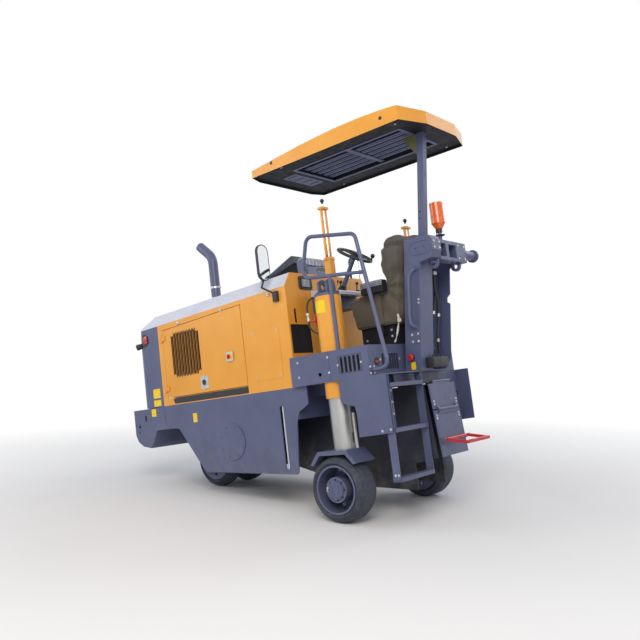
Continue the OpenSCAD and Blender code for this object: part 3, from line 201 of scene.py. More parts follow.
# finish: slot, colour, shade, roughness from and to, and what differs from plainSurface.
# A slot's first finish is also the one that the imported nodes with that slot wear
surfaces = {
    "bodyYellow": ("body_yellow", "#e6a034", "#df972a", (0.34, 0.46), {"coat": 0.2, "dust": 0.25, "dustHeight": 1.2}),
    "frameSlate": ("frame_slate", "#535a7b", "#4b5271", (0.4, 0.55), {"coat": 0.15, "dust": 0.3, "dustHeight": 0.8}),
    "darkSteel": ("dark_steel", "#2c303d", "#242731", (0.5, 0.7), {"dust": 0.45, "dustHeight": 0.7}),
    "paleCover": ("pale_cover", "#cfd3e0", "#c3c8d8", (0.3, 0.45), {"coat": 0.3}),
    "blackParts": ("black_parts", "#15161c", "#1c1d25", (0.5, 0.7), {"specular": 0.3, "grain": 0.15}),
    "blackPlastic": ("black_plastic", "#1d1f24", "#26282e", (0.4, 0.55), {"grain": 0.3, "grainScale": 520}),
    "brightRod": ("bright_rod", "#dfe2e8", "#cfd3da", (0.08, 0.18), {"metal": 1.0, "grain": 0.02}),
    "silverColumn": ("silver_column", "#bcbdbc", "#a5a6a6", (0.28, 0.45),
                     {"metal": 0.85, "stretch": (40, 40, 1), "roughScale": 6, "grainScale": 40, "grain": 0.12}),
    "toolSteel": ("tool_steel", "#8b8c90", "#6d6f75", (0.3, 0.55), {"metal": 0.8, "grain": 0.2}),
    "zincBolt": ("bright_rod", "#d6d8dc", "#bfc2c8", (0.25, 0.4), {"metal": 0.6, "mottleScale": 30}),
    "darkBolt": ("frame_slate", "#3a3e4d", "#2f3340", (0.4, 0.55), {"mottleScale": 30}),
    "bailRed": ("bail_red", "#c9202d", "#b81b28", (0.3, 0.45), {"coat": 0.2, "mottleScale": 8}),
    "stickerYellow": ("body_yellow", "#f6cf1d", "#eec41a", (0.35, 0.5), {"mottleScale": 20}),
    "plateSilver": ("bright_rod", "#c9cbd0", "#b7babf", (0.3, 0.45), {"metal": 0.7, "mottleScale": 18}),
    "seamDark": ("frame_slate", "#3b3f50", "#343848", (0.5, 0.65), {}),
    "oliveBracket": ("frame_slate", "#6d6b4b", "#5f5d40", (0.45, 0.6), {}),
    "hoseRubber": ("black_plastic", "#202227", "#2b2d33", (0.45, 0.6), {"grain": 0.25, "grainScale": 420}),
    # grey film; on the dash film it also paints the shade between the creases, and filmLitPale below paints their
    # highlight
    "filmGrey": ("black_plastic", "#a3a8b8", "#7d8293", (0.15, 0.35), {"coat": 0.3, "mottleScale": 26}),
    "filmLitPale": ("pale_cover", "#c3c7d8", "#a9aec4", (0.15, 0.35), {"coat": 0.3, "mottleScale": 26}),
    "mirrorFace": ("mirror_face", "#eef1f3", "#e6eaed", (0.02, 0.06), {"metal": 1.0, "grain": 0.01}),
}
# finish: slot, colour, faded colour, colour of the gaps, threads
canvases = {
    "seatCanvas": ("seat_cloth", "#534e42", "#666054", "#343128", 160),
    "strapWhite": ("pale_cover", "#d9d8d2", "#c9c7be", "#a9a79f", 300),
}
# finish: slot, colour, shade, flutes, glow
lenses = {
    "beaconOrange": ("beacon_orange", "#e8701f", "#cf5218", 18, 0.06),
    "lampRed": ("bail_red", "#c41a22", "#a5141c", 40, 0.0),
    "lampClear": ("lamp_lens", "#e4e5e1", "#d4d6d2", 40, 0.0),
}
rubberLook = {"colour": "#2f323e", "bloom": "#3d4150", "worn": "#484b58", "ringPitch": 0.03, "treadRadius": 0.28}

finishes, finishSlots = {}, {}
for name, (slot, colour, shade, rough, others) in surfaces.items():
    finishSlots[name] = slot
    finishes[name] = surfaceFinish(name, {"colour": colour, "shade": shade, "rough": rough, **others})
for name, (slot, colour, faded, gap, threads) in canvases.items():
    finishSlots[name] = slot
    finishes[name] = canvasFinish(name, {"colour": colour, "faded": faded, "gap": gap, "threadScale": threads})
for name, (slot, colour, shade, flutes, glow) in lenses.items():
    finishSlots[name] = slot
    finishes[name] = lensFinish(name, {"colour": colour, "shade": shade, "fluteScale": flutes, "glow": glow})
for name, axle in (("rearRubber", "rear_wheel_left_spin"), ("frontRubber", "front_wheel_left_spin")):
    finishSlots[name] = "solid_tyre"
    finishes[name] = rubberFinish(name, {**rubberLook, "axle": axle})

slotFinishes = {}
for name, slot in finishSlots.items():
    slotFinishes.setdefault(slot, name)
for part in frame["record"]["subparts"]:
    node = frame["nodes"][part["node"]]
    isFrontTyre = part["node"].startswith("front_tyre")
    node.data.materials.clear()
    node.data.materials.append(finishes["frontRubber" if isFrontTyre else slotFinishes[part["material_slot"]]])
print("finishes set:", len(finishes))


# ---- shapes

def finishPiece(name, mesh, finish, body, smooth=35):
    piece = bpy.data.objects.new(name, mesh)
    scene.collection.objects.link(piece)
    mesh.transform(level)
    if not mesh.materials:
        mesh.materials.append(finishes[finish])
    mesh.shade_smooth()
    mesh.set_sharp_from_angle(angle=math.radians(smooth))
    mesh.update()
    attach(piece, body)
    return piece


def meshFrom(shape, name):
    bmesh.ops.recalc_face_normals(shape, faces=shape.faces)
    mesh = bpy.data.meshes.new(name)
    shape.to_mesh(mesh)
    shape.free()
    return mesh


# Any two opposite corners will do
def addBlock(shape, corner, other, bevel=0.0015):
    low, high = ([pick(pair) for pair in zip(corner, other)] for pick in (min, max))
    made = bmesh.ops.create_cube(shape, size=1)
    for vertex in made["verts"]:
        vertex.co = Vector([low[i] + (vertex.co[i] + 0.5) * (high[i] - low[i]) for i in range(3)])
    edges = list({edge for vertex in made["verts"] for edge in vertex.link_edges})
    bmesh.ops.bevel(shape, geom=edges, offset=bevel, segments=2, affect="EDGES", profile=0.6)


# Walls between rings of equal length: capped at both ends, or run round from the last ring to the first
def joinRings(shape, rings, capped=True):
    count = len(rings[0])
    for first, second in zip(rings, rings[1:] if capped else rings[1:] + rings[:1]):
        for i in range(count):
            shape.faces.new((first[i], first[(i + 1) % count], second[(i + 1) % count], second[i]))
    if capped:
        shape.faces.new(rings[0][::-1])
        shape.faces.new(rings[-1])


# A solid between two points, with its ends drawn in a little so that they catch the light
def addRound(shape, start, end, radius, facets=24, endRadius=None, edge=0.0012):
    start, end = Vector(start), Vector(end)
    axis = (end - start).normalized()
    across = axis.orthogonal().normalized()
    other = axis.cross(across)
    last = radius if endRadius is None else endRadius
    rings = []
    for at, size in ((start, radius - edge), (start + axis * edge, radius), (end - axis * edge, last),
                     (end, max(last - edge, 0.0003))):
        rings.append([shape.verts.new(at + (across * math.cos(a) + other * math.sin(a)) * size)
                      for a in [2 * math.pi * i / facets for i in range(facets)]])
    joinRings(shape, rings)


def addBall(shape, at, radius, around=24, rings=16):
    ball = bmesh.ops.create_uvsphere(shape, u_segments=around, v_segments=rings, radius=radius)
    bmesh.ops.translate(shape, verts=ball["verts"], vec=at)


# A flat outline of (u, v) points, raised along its normal
def addPlate(shape, outline, corner, alongU, alongV, thick):
    corner, alongU, alongV = Vector(corner), Vector(alongU).normalized(), Vector(alongV).normalized()
    normal = alongU.cross(alongV)
    rows = []
    edge = min(0.0006, thick * 0.4)
    middle = sum((Vector(p) for p in outline), Vector((0, 0))) / len(outline)
    for height, inset in ((0, 0), (thick - edge, 0), (thick, edge)):
        ring = []
        for p in outline:
            q = Vector(p) + (middle - Vector(p)).normalized() * inset
            ring.append(shape.verts.new(corner + alongU * q.x + alongV * q.y + normal * height))
        rows.append(ring)
    joinRings(shape, rows)


# A plate on a flank, from an outline of (x, z) points
def addFlankPlate(shape, outline, side, face, thick):
    if side > 0:
        addPlate(shape, [(z, x) for x, z in outline], (0, face, 0), (0, 0, 1), (1, 0, 0), thick)
    else:
        addPlate(shape, outline, (0, -face, 0), (1, 0, 0), (0, 0, 1), thick)


def roundedOutline(width, height, radius, steps=5):
    points = []
    for cx, cy, start in ((width / 2 - radius, height / 2 - radius, 0), (-width / 2 + radius, height / 2 - radius, 90),
                          (-width / 2 + radius, -height / 2 + radius, 180),
                          (width / 2 - radius, -height / 2 + radius, 270)):
        for i in range(steps + 1):
            a = math.radians(start + 90 * i / steps)
            points.append((cx + radius * math.cos(a), cy + radius * math.sin(a)))
    return points


def smoothPath(points, perSpan=10):
    points = [Vector(p) for p in points]
    padded = [2 * points[0] - points[1]] + points + [2 * points[-1] - points[-2]]
    path = []
    for i in range(1, len(padded) - 2):
        p0, p1, p2, p3 = padded[i - 1:i + 3]
        for step in range(perSpan):
            t = step / perSpan
            path.append(0.5 * (2 * p1 + (p2 - p0) * t + (2 * p0 - 5 * p1 + 4 * p2 - p3) * t * t
                               + (3 * p1 - p0 - 3 * p2 + p3) * t ** 3))
    path.append(points[-1])
    return path


def addHose(shape, points, radius, facets=14):
    path = smoothPath(points)
    way = (path[1] - path[0]).normalized()
    across = way.orthogonal().normalized()
    rings = []
    for i, at in enumerate(path):
        way = (path[min(i + 1, len(path) - 1)] - path[max(i - 1, 0)]).normalized()
        across = (across - way * across.dot(way)).normalized()
        other = way.cross(across)
        rings.append([shape.verts.new(at + (across * math.cos(a) + other * math.sin(a)) * radius)
                      for a in [2 * math.pi * k / facets for k in range(facets)]])
    joinRings(shape, rings)


def makePiece(name, build, finish, body="chassis"):
    shape = bmesh.new()
    build(shape)
    finishPiece(name, meshFrom(shape, name), finish, body)


# Makes the piece that the function below it builds, under the function's own name
def asPiece(finish, body="chassis"):
    def make(build):
        makePiece(build.__name__, build, finish, body)
        return build
    return make


# ---- geometry node trees

class TreeBuilder:
    def __init__(self, name, sockets):
        self.tree = bpy.data.node_groups.new(name, "GeometryNodeTree")
        self.tree.interface.new_socket("Geometry", in_out="INPUT", socket_type="NodeSocketGeometry")
        self.ids = {}
        for label, kind, value in sockets:
            socket = self.tree.interface.new_socket(label, in_out="INPUT", socket_type=kind)
            if value is not None:
                socket.default_value = value
            self.ids[label] = socket.identifier
        self.tree.interface.new_socket("Geometry", in_out="OUTPUT", socket_type="NodeSocketGeometry")
        self.start = self.tree.nodes.new("NodeGroupInput")
        self.end = self.tree.nodes.new("NodeGroupOutput")

    def add(self, kind, links=None, values=None, **settings):
        node = self.tree.nodes.new(kind)
        for key, value in settings.items():
            setattr(node, key, value)
        for key, value in (values or {}).items():
            node.inputs[key].default_value = value
        for key, source in (links or {}).items():
            self.tree.links.new(source, node.inputs[key])
        return node

    def value(self, label):
        return self.start.outputs[label]

    def finish(self, geometry):
        real = self.add("GeometryNodeRealizeInstances", {"Geometry": geometry})
        painted = self.add("GeometryNodeSetMaterial", {"Geometry": real.outputs[0], "Material": self.value("finish")})
        self.tree.links.new(painted.outputs[0], self.end.inputs[0])
        return self


# Bolts, rivets and tips: a head on a washer at every point, standing along the point's own facing
def fastenerTree():
    build = TreeBuilder("fasteners", [
        ("head radius", "NodeSocketFloat", 0.008), ("head tip radius", "NodeSocketFloat", 0.008),
        ("head height", "NodeSocketFloat", 0.006), ("head sides", "NodeSocketInt", 6),
        ("washer radius", "NodeSocketFloat", 0.011), ("washer height", "NodeSocketFloat", 0.002),
        ("turn seed", "NodeSocketInt", 7), ("finish", "NodeSocketMaterial", None)])
    head = build.add("GeometryNodeMeshCone", {
        "Vertices": build.value("head sides"), "Radius Top": build.value("head tip radius"),
        "Radius Bottom": build.value("head radius"), "Depth": build.value("head height")})
    washer = build.add("GeometryNodeMeshCylinder", {
        "Radius": build.value("washer radius"), "Depth": build.value("washer height")}, {"Vertices": 20})
    half = build.add("ShaderNodeMath", {0: build.value("washer height")}, {1: 0.5}, operation="MULTIPLY")
    washerUp = build.add("ShaderNodeCombineXYZ", {"Z": half.outputs[0]})
    headUp = build.add("ShaderNodeCombineXYZ", {"Z": build.value("washer height")})
    washerPlaced = build.add("GeometryNodeTransform", {"Geometry": washer.outputs["Mesh"],
                                                       "Translation": washerUp.outputs[0]})
    headPlaced = build.add("GeometryNodeTransform", {"Geometry": head.outputs["Mesh"],
                                                     "Translation": headUp.outputs[0]})
    joined = build.add("GeometryNodeJoinGeometry")
    build.tree.links.new(washerPlaced.outputs[0], joined.inputs[0])
    build.tree.links.new(headPlaced.outputs[0], joined.inputs[0])
    facing = build.add("GeometryNodeInputNamedAttribute", values={"Name": "facing"}, data_type="FLOAT_VECTOR")
    aim = build.add("FunctionNodeAlignRotationToVector", {"Vector": facing.outputs["Attribute"]}, axis="Z")
    spin = build.add("FunctionNodeRandomValue", {"Seed": build.value("turn seed")}, data_type="FLOAT")
    spin.inputs[3].default_value = math.pi
    turn = build.add("ShaderNodeCombineXYZ", {"Z": spin.outputs[1]})
    toTurn = build.add("FunctionNodeEulerToRotation", {0: turn.outputs[0]})
    rotate = build.add("FunctionNodeRotateRotation", {0: aim.outputs[0], 1: toTurn.outputs[0]},
                       rotation_space="LOCAL")
    placed = build.add("GeometryNodeInstanceOnPoints", {
        "Points": build.value("Geometry"), "Instance": joined.outputs[0], "Rotation": rotate.outputs[0]})
    return build.finish(placed.outputs[0])


# Fins, ribs and strips: like bars in a row, from a start by a step, each turned about its own length
def barTree():
    build = TreeBuilder("bars", [
        ("count", "NodeSocketInt", 5), ("start", "NodeSocketVector", None), ("step", "NodeSocketVector", None),
        ("bar size", "NodeSocketVector", None), ("turn", "NodeSocketVector", None),
        ("finish", "NodeSocketMaterial", None)])
    line = build.add("GeometryNodeMeshLine", {"Count": build.value("count"), "Start Location": build.value("start"),
                                              "Offset": build.value("step")})
    bar = build.add("GeometryNodeMeshCube", {"Size": build.value("bar size")})
    toTurn = build.add("FunctionNodeEulerToRotation", {0: build.value("turn")})
    placed = build.add("GeometryNodeInstanceOnPoints", {
        "Points": line.outputs[0], "Instance": bar.outputs["Mesh"], "Rotation": toTurn.outputs[0]})
    return build.finish(placed.outputs[0])


# Anti-slip plate: long low studs on a grid, turned left and right by turns
def studTree():
    build = TreeBuilder("studs", [
        ("width", "NodeSocketFloat", 0.5), ("length", "NodeSocketFloat", 0.5), ("across", "NodeSocketInt", 12),
        ("along", "NodeSocketInt", 12), ("stud size", "NodeSocketVector", None), ("place", "NodeSocketVector", None),
        ("finish", "NodeSocketMaterial", None)])
    grid = build.add("GeometryNodeMeshGrid", {
        "Size X": build.value("length"), "Size Y": build.value("width"),
        "Vertices X": build.value("along"), "Vertices Y": build.value("across")})
    moved = build.add("GeometryNodeTransform", {"Geometry": grid.outputs["Mesh"], "Translation": build.value("place")})
    stud = build.add("GeometryNodeMeshUVSphere", values={"Segments": 8, "Rings": 4, "Radius": 1.0})
    index = build.add("GeometryNodeInputIndex")
    parity = build.add("ShaderNodeMath", {0: index.outputs[0]}, {1: 2.0}, operation="MODULO")
    angle = build.add("ShaderNodeMath", {0: parity.outputs[0]}, {1: math.pi / 2, 2: math.pi / 4},
                      operation="MULTIPLY_ADD")
    turn = build.add("ShaderNodeCombineXYZ", {"Z": angle.outputs[0]})
    toTurn = build.add("FunctionNodeEulerToRotation", {0: turn.outputs[0]})
    placed = build.add("GeometryNodeInstanceOnPoints", {
        "Points": moved.outputs[0], "Instance": stud.outputs["Mesh"], "Rotation": toTurn.outputs[0],
        "Scale": build.value("stud size")})
    return build.finish(placed.outputs[0])


trees = {"fasteners": fastenerTree(), "bars": barTree(), "studs": studTree()}


# Runs a tree over a host mesh and keeps the result as a plain mesh that rides on one body
def growPiece(name, treeName, values, finish, body="chassis", points=None):
    host = bpy.data.meshes.new(name)
    if points:
        host.from_pydata([p for p, way in points], [], [])
        facing = host.attributes.new("facing", "FLOAT_VECTOR", "POINT")
        facing.data.foreach_set("vector", [c for p, way in points for c in way])
    piece = bpy.data.objects.new(name, host)
    scene.collection.objects.link(piece)
    grow = piece.modifiers.new("grow", "NODES")
    grow.node_group = trees[treeName].tree
    for label, value in {**values, "finish": finishes[finish]}.items():
        grow[trees[treeName].ids[label]] = value
    mesh = bpy.data.meshes.new_from_object(piece.evaluated_get(bpy.context.evaluated_depsgraph_get()))
    piece.modifiers.clear()
    bpy.data.objects.remove(piece)
    mesh.name = name
    return finishPiece(name, mesh, finish, body)


left, rearwards, up, forwards = (0, 1, 0), (-1, 0, 0), (0, 0, 1), (1, 0, 0)
sides = (1, -1)
sideWords = ((1, "left"), (-1, "right"))
print("node trees ready:", ", ".join(trees))


# ---- bolts

boltSizes = {"panel": {"head radius": 0.0075, "head tip radius": 0.0065, "head height": 0.005,
                       "washer radius": 0.0105, "washer height": 0.0015},
             "heavy": {"head radius": 0.013, "head tip radius": 0.0125, "head height": 0.010,
                       "washer radius": 0.018, "washer height": 0.003},
             "wheel": {"head radius": 0.0125, "head tip radius": 0.011, "head height": 0.014,
                       "washer radius": 0.016, "washer height": 0.003}}


def addBolts(name, points, size="panel", finish="zincBolt", body="chassis"):
    growPiece(name, "fasteners", boltSizes[size], finish, body, points)


# Points on a circle in the plane across y, with the way that they face
def circleOn(x, y, z, radius, side, degrees):
    return [((x + radius * math.cos(math.radians(a)), y, z + radius * math.sin(math.radians(a))), (0, side, 0))
            for a in degrees]


hoodPanelCorners = [(0.895, 1.742), (0.581, 1.742), (0.581, 1.322), (0.895, 1.322)]
boxPanelBolts = [(0.327, 1.267), (-0.020, 1.272), (-0.124, 1.323), (-0.372, 1.320), (0.327, 1.400), (-0.020, 1.405)]
panelPoints = [((x, side * 0.6532, z), (0, side, 0)) for side in sides for x, z in hoodPanelCorners]
panelPoints += [((x, side * 0.7002, z), (0, side, 0)) for side in sides for x, z in boxPanelBolts]
panelPoints += [((-0.4502, y, 1.325), rearwards) for y in (0.530, 0.235, -0.46, -0.62)]
panelPoints += [((x, side * 0.7002, z), (0, side, 0)) for side in sides for x, z in ((-0.500, 0.735), (-0.585, 0.742))]
addBolts("panelBolts", panelPoints)

stringerBolts = [((x, 0.6802, z), left) for x, z in ((-0.560, 0.372), (-0.590, 0.372))]
columnBolts = [((x, 0.1802, z), left) for x, z in ((-0.690, 1.812), (-0.686, 1.782))]
addBolts("smallBolts", stringerBolts + columnBolts)

drumCover = {"centre": (1.320, 0.753), "boltCircle": 0.153, "angles": range(20, 336, 45)}
coverX, coverZ = drumCover["centre"]
coverPoints = [point for side in sides
               for point in circleOn(coverX, side * 0.6542, coverZ, drumCover["boltCircle"], side, drumCover["angles"])]
growPiece("drumCoverBolts", "fasteners",
          {"head radius": 0.0062, "head tip radius": 0.006, "head height": 0.0035, "head sides": 12,
           "washer radius": 0.0068, "washer height": 0.0005}, "darkBolt", points=coverPoints)

crown = {"legY": 0.570, "plateZ": 1.9743, "boltCircle": 0.098, "count": 8}
crownPoints = [((crown["boltCircle"] * math.cos(math.radians(a + 22.5)),
                 side * crown["legY"] + crown["boltCircle"] * math.sin(math.radians(a + 22.5)), crown["plateZ"]),
                (0, 0, 1)) for side in sides for a in range(0, 360, 360 // crown["count"])]
addBolts("crownBolts", crownPoints, "heavy", "darkBolt")


# ---- wheels

wheelTrim = {"boltCircle": 0.085, "bolts": 8, "studCircle": 0.172, "studs": 6, "capFace": 0.010, "rearHalf": 0.130,
             "frontHalf": 0.100}


# A raised flat ring about an axis along y
def addRing(shape, centre, side, radius, wide, height, count=48):
    rows = [[shape.verts.new((centre[0] + r * math.cos(a), centre[1] + side * h, centre[2] + r * math.sin(a)))
             for a in [2 * math.pi * i / count for i in range(count)]]
            for r, h in ((radius, 0), (radius, height), (radius + wide, height), (radius + wide, 0))]
    joinRings(shape, rows, capped=False)


def dressWheel(body, side, half):
    x, y, z = level.inverted() @ Vector(joints[body + "_spin"]["pos_m"])
    hub, cap = y + side * (half - 0.024), y + side * (half - wheelTrim["capFace"])
    bolts, studs = ([360 * i / wheelTrim[key] for i in range(wheelTrim[key])] for key in ("bolts", "studs"))
    growPiece(body + "_hubBolts", "fasteners", {**boltSizes["panel"], "head height": 0.007}, "darkBolt", body,
              circleOn(x, hub, z, wheelTrim["boltCircle"], side, bolts))
    addBolts(body + "_studs", circleOn(x, y + side * (-half + 0.040), z, wheelTrim["studCircle"], side, studs),
             "wheel", body=body)

    def rings(shape):
        for radius, height, wide in ((0.062, 0.003, 0.004), (0.038, 0.004, 0.003)):
            addRing(shape, (x, cap, z), side, radius, wide, height)

    def tag(shape):
        addPlate(shape, roundedOutline(0.040, 0.026, 0.002), (x + 0.092, y + side * (half - 0.0239), z + 0.006),
                 up, (side, 0, 0), 0.0012)

    makePiece(body + "_capRings", rings, "frameSlate", body)
    makePiece(body + "_tag", tag, "plateSilver", body)


# The front wheels carry their hub bolts on the inner side
for body, side, half in (("rear_wheel_left", 1, "rearHalf"), ("rear_wheel_right", -1, "rearHalf"),
                         ("front_wheel_left", -1, "frontHalf"), ("front_wheel_right", 1, "frontHalf")):
    dressWheel(body, side, wheelTrim[half])
print("bolts and wheels dressed")


# ---- blank labels, stripe, latch and socket on the hood's flank

labels = {
    "thick": 0.0009,
    "face": 0.6502,
    "onSides": [  # x, z of the middle, width, height
        (2.420, 1.335, 0.120, 0.100), (2.420, 1.232, 0.120, 0.066), (2.500, 1.134, 0.075, 0.080),
        (1.835, 1.030, 0.062, 0.092)],
}


@asPiece("stickerYellow")
def sideLabels(shape):
    for side in sides:
        for x, z, width, height in labels["onSides"]:
            addPlate(shape, roundedOutline(height, width, 0.004), (x, side * labels["face"], z), up, (side, 0, 0),
                     labels["thick"])


@asPiece("stickerYellow")
def crownLabels(shape):  # wrapped round the leg's sleeve, on its outer and front side
    for side in sides:
        radius, z0, z1 = 0.1184, 1.800, 1.910
        columns = []
        for i in range(9):
            a = math.radians(113 - 64 * i / 8)
            columns.append([(radius + out, a, z) for out in (0, 0.0009) for z in (z0, z1)])
        grid = [[shape.verts.new((r * math.cos(a), side * (0.570 + r * math.sin(a)), z)) for r, a, z in column]
                for column in columns]
        for first, second in zip(grid, grid[1:]):
            for i, k in ((0, 1), (1, 3), (3, 2), (2, 0)):
                shape.faces.new((first[i], first[k], second[k], second[i]))
        for end in (grid[0], grid[-1]):
            shape.faces.new((end[0], end[1], end[3], end[2]))


@asPiece("blackPlastic")
def flankStripe(shape):
    outline = [(2.150, 1.243), (2.128, 1.199), (1.024, 1.199), (1.024, 1.262), (2.108, 1.262)]
    for side in sides:
        addFlankPlate(shape, outline, side, labels["face"], labels["thick"])


doorLatch = {"x": 1.228, "z": 1.580, "face": 0.660, "plate": 0.094}


def latchPlate(shape, side):
    addPlate(shape, roundedOutline(doorLatch["plate"], doorLatch["plate"] * 1.05, 0.006),
             (doorLatch["x"], side * doorLatch["face"], doorLatch["z"]), up, (side, 0, 0), 0.004)


def latchYellow(shape, side):
    addPlate(shape, roundedOutline(0.062, 0.062, 0.004),
             (doorLatch["x"] - 0.004, side * (doorLatch["face"] + 0.004), doorLatch["z"]), up, (side, 0, 0), 0.002)


def latchKnob(shape, side):
    x, y, z = doorLatch["x"] + 0.004, side * (doorLatch["face"] + 0.006), doorLatch["z"]
    addRound(shape, (x, y, z), (x, y + side * 0.014, z), 0.021)
    addBlock(shape, (x - 0.005, y, z - 0.022), (x + 0.005, y + side * 0.026, z + 0.022), 0.003)


for side, word in sideWords:
    body = "engine_door_" + word
    for name, build, finish in (("_latchPlate", latchPlate, "plateSilver"),
                                ("_latchFace", latchYellow, "stickerYellow"), ("_latchKnob", latchKnob, "bailRed")):
        makePiece(body + name, lambda shape: build(shape, side), finish, body)


@asPiece("plateSilver", "engine_door_left")
def socketPlate(shape):
    addPlate(shape, roundedOutline(0.130, 0.112, 0.012), (1.634, 0.6522, 1.372), up, forwards, 0.004)
    addRing(shape, (1.634, 0.6562, 1.372), 1, 0.030, 0.006, 0.006)
    addBlock(shape, (1.622, 0.656, 1.415), (1.646, 0.664, 1.437), 0.002)


@asPiece("blackPlastic", "engine_door_left")
def socketRecess(shape):
    addRound(shape, (1.634, 0.6560, 1.372), (1.634, 0.6585, 1.372), 0.0295)


# Slanted fins behind the slots of both doors, and blades behind the nose's grille
louvreFins = {"count": 10, "front": 2.082, "rear": 1.682, "middle": 1.706, "height": 0.44, "inset": 0.632}
for side, word in sideWords:
    step = (louvreFins["rear"] - louvreFins["front"]) / (louvreFins["count"] - 1)
    growPiece("engine_door_" + word + "_fins", "bars",
              {"count": louvreFins["count"],
               "start": (louvreFins["front"] + 0.006, side * louvreFins["inset"], louvreFins["middle"]),
               "step": (step, 0, 0), "bar size": (0.030, 0.0015, louvreFins["height"]),
               "turn": (0, 0, math.radians(-28 * side))},
              "blackParts", "engine_door_" + word)
growPiece("noseBlades", "bars",
          {"count": 9, "start": (2.700, 0, 1.300), "step": (-0.001, 0, 0.056), "bar size": (0.034, 0.664, 0.002),
           "turn": (0, math.radians(-24), 0)}, "blackParts")
print("hood flank, labels and louvres done")


# ---- platform: frames round the louvres, painted shade round and behind the slots, seams, the socket at the rear and the rail's foot

# slotShadeEdge and backing size the black edging and dark sheet that paint the shade round and behind the slots
platformTrim = {"louvreFrame": (-0.378, -0.132, 1.246, 1.398), "frameBar": 0.005, "seam": (-0.030, 1.196, 1.452),
                "socket": (0.585, 1.310, 0.031), "railFoot": (0.670, 1.243), "footBolt": 0.027,
                "footPlate": (0.076, 0.074, 0.008), "rear": -0.4502,
                "sideSlots": (5, -0.165, -0.045, 1.321, 0.017), "rearSlots": (7, 0.490, -0.036, 1.310, 0.015),
                "slotLength": 0.126, "slotShadeEdge": 0.003, "shadeSheetDepth": 0.028}


# Four thin strips round a rectangle of (u, v), standing proud of a face
def addFrame(shape, place, u0, u1, v0, v1, bar):
    for low, high in (((u0, v0), (u1, v0 + bar)), ((u0, v1 - bar), (u1, v1)),
                      ((u0, v0 + bar), (u0 + bar, v1 - bar)), ((u1 - bar, v0 + bar), (u1, v1 - bar))):
        addBlock(shape, place(*low), place(*high), 0.0005)


def onSide(side):  # gives the corners of each strip by turns: first on the wall, then standing proud of it
    calls = iter([0, 1] * 4)
    return lambda u, v: (u, side * (0.6994 + 0.0024 * next(calls)), v)


@asPiece("seamDark")
def platformFrames(shape):
    x0, x1, z0, z1 = platformTrim["louvreFrame"]
    seamX, seamLow, seamHigh = platformTrim["seam"]
    for side in sides:
        addFrame(shape, onSide(side), x0, x1, z0, z1, platformTrim["frameBar"])
        addBlock(shape, (seamX - 0.0015, side * 0.6994, seamLow), (seamX + 0.0015, side * 0.7012, seamHigh), 0.0005)


# Painted shade for a row of upright slots: black edging round each slot and a dark sheet behind the row; place turns
# (u, depth, v) to a point
def addSlotShade(shape, place, row):
    count, first, step, height, width = row
    edge, length = platformTrim["slotShadeEdge"], platformTrim["slotLength"]
    for i in range(count):
        ring = roundedOutline(width + edge, length + edge, (width + edge) / 2 - 0.0005)
        addHose(shape, [place(first + i * step + u, 0.001, height + v) for u, v in ring + ring[:1]], edge, 8)
    ends = sorted((first + width, first + (count - 1) * step - width))
    a = place(ends[0], -platformTrim["shadeSheetDepth"], height - length / 2 - 0.01)
    b = place(ends[1], -platformTrim["shadeSheetDepth"] - 0.002, height + length / 2 + 0.01)
    addBlock(shape, a, b, 0.0005)


@asPiece("blackParts")
def slotShadeEdges(shape):
    for side in sides:
        addSlotShade(shape, lambda u, depth, v: (u, side * (0.700 + depth), v), platformTrim["sideSlots"])
    addSlotShade(shape, lambda u, depth, v: (-0.450 - depth, u, v), platformTrim["rearSlots"])


@asPiece("blackPlastic")
def rearSocketCup(shape):
    y, z, radius = platformTrim["socket"]
    addRound(shape, (-0.4413, y, z), (-0.405, y, z), radius + 0.004)
    addRound(shape, (platformTrim["rear"], y, z), (-0.4520, y, z), radius + 0.005, endRadius=radius + 0.003)


@asPiece("bailRed")
def rearSocketBar(shape):
    y, z, radius = platformTrim["socket"]
    addBlock(shape, (-0.4550, y - 0.022, z - 0.006), (-0.4515, y + 0.022, z + 0.006), 0.0015)
    addBlock(shape, (-0.4560, y - 0.008, z - 0.010), (-0.4515, y + 0.008, z + 0.010), 0.0015)


@asPiece("frameSlate")
def railFoot(shape):
    y, z = platformTrim["railFoot"]
    addPlate(shape, roundedOutline(*platformTrim["footPlate"]), (platformTrim["rear"], y, z), up, left, 0.006)


footY, footZ, reach = *platformTrim["railFoot"], platformTrim["footBolt"]
addBolts("railFootBolts", [((-0.4563, footY + a * reach, footZ + b * reach), rearwards) for a in sides for b in sides])

# Anti-slip studs: width over y, length over x, rows across and along, and the middle of the plate
studPlates = {
    "deckStuds": (0.84, 0.80, 22, 20, (-0.025, 0, 1.455)),
    "deckStudsLeft": (0.20, 0.26, 6, 7, (-0.300, 0.575, 1.455)),
    "deckStudsRight": (0.20, 0.26, 6, 7, (-0.300, -0.575, 1.455)),
    "treadStudsTop": (0.47, 0.066, 14, 3, (-0.569, 0.418, 1.118)),
    "treadStudsMiddle": (0.47, 0.066, 14, 3, (-0.569, 0.418, 0.748)),
    "treadStudsLow": (0.47, 0.066, 14, 3, (-0.569, 0.418, 0.351)),
}
for name, (width, length, across, along, place) in studPlates.items():
    growPiece(name, "studs", {"width": width, "length": length, "across": across, "along": along,
                              "stud size": (0.013, 0.0032, 0.0017), "place": place},
              "frameSlate")
print("platform trimmed")


# ---- rear column: grab bar, foot plate, embossed slot, stop button, box and hoses

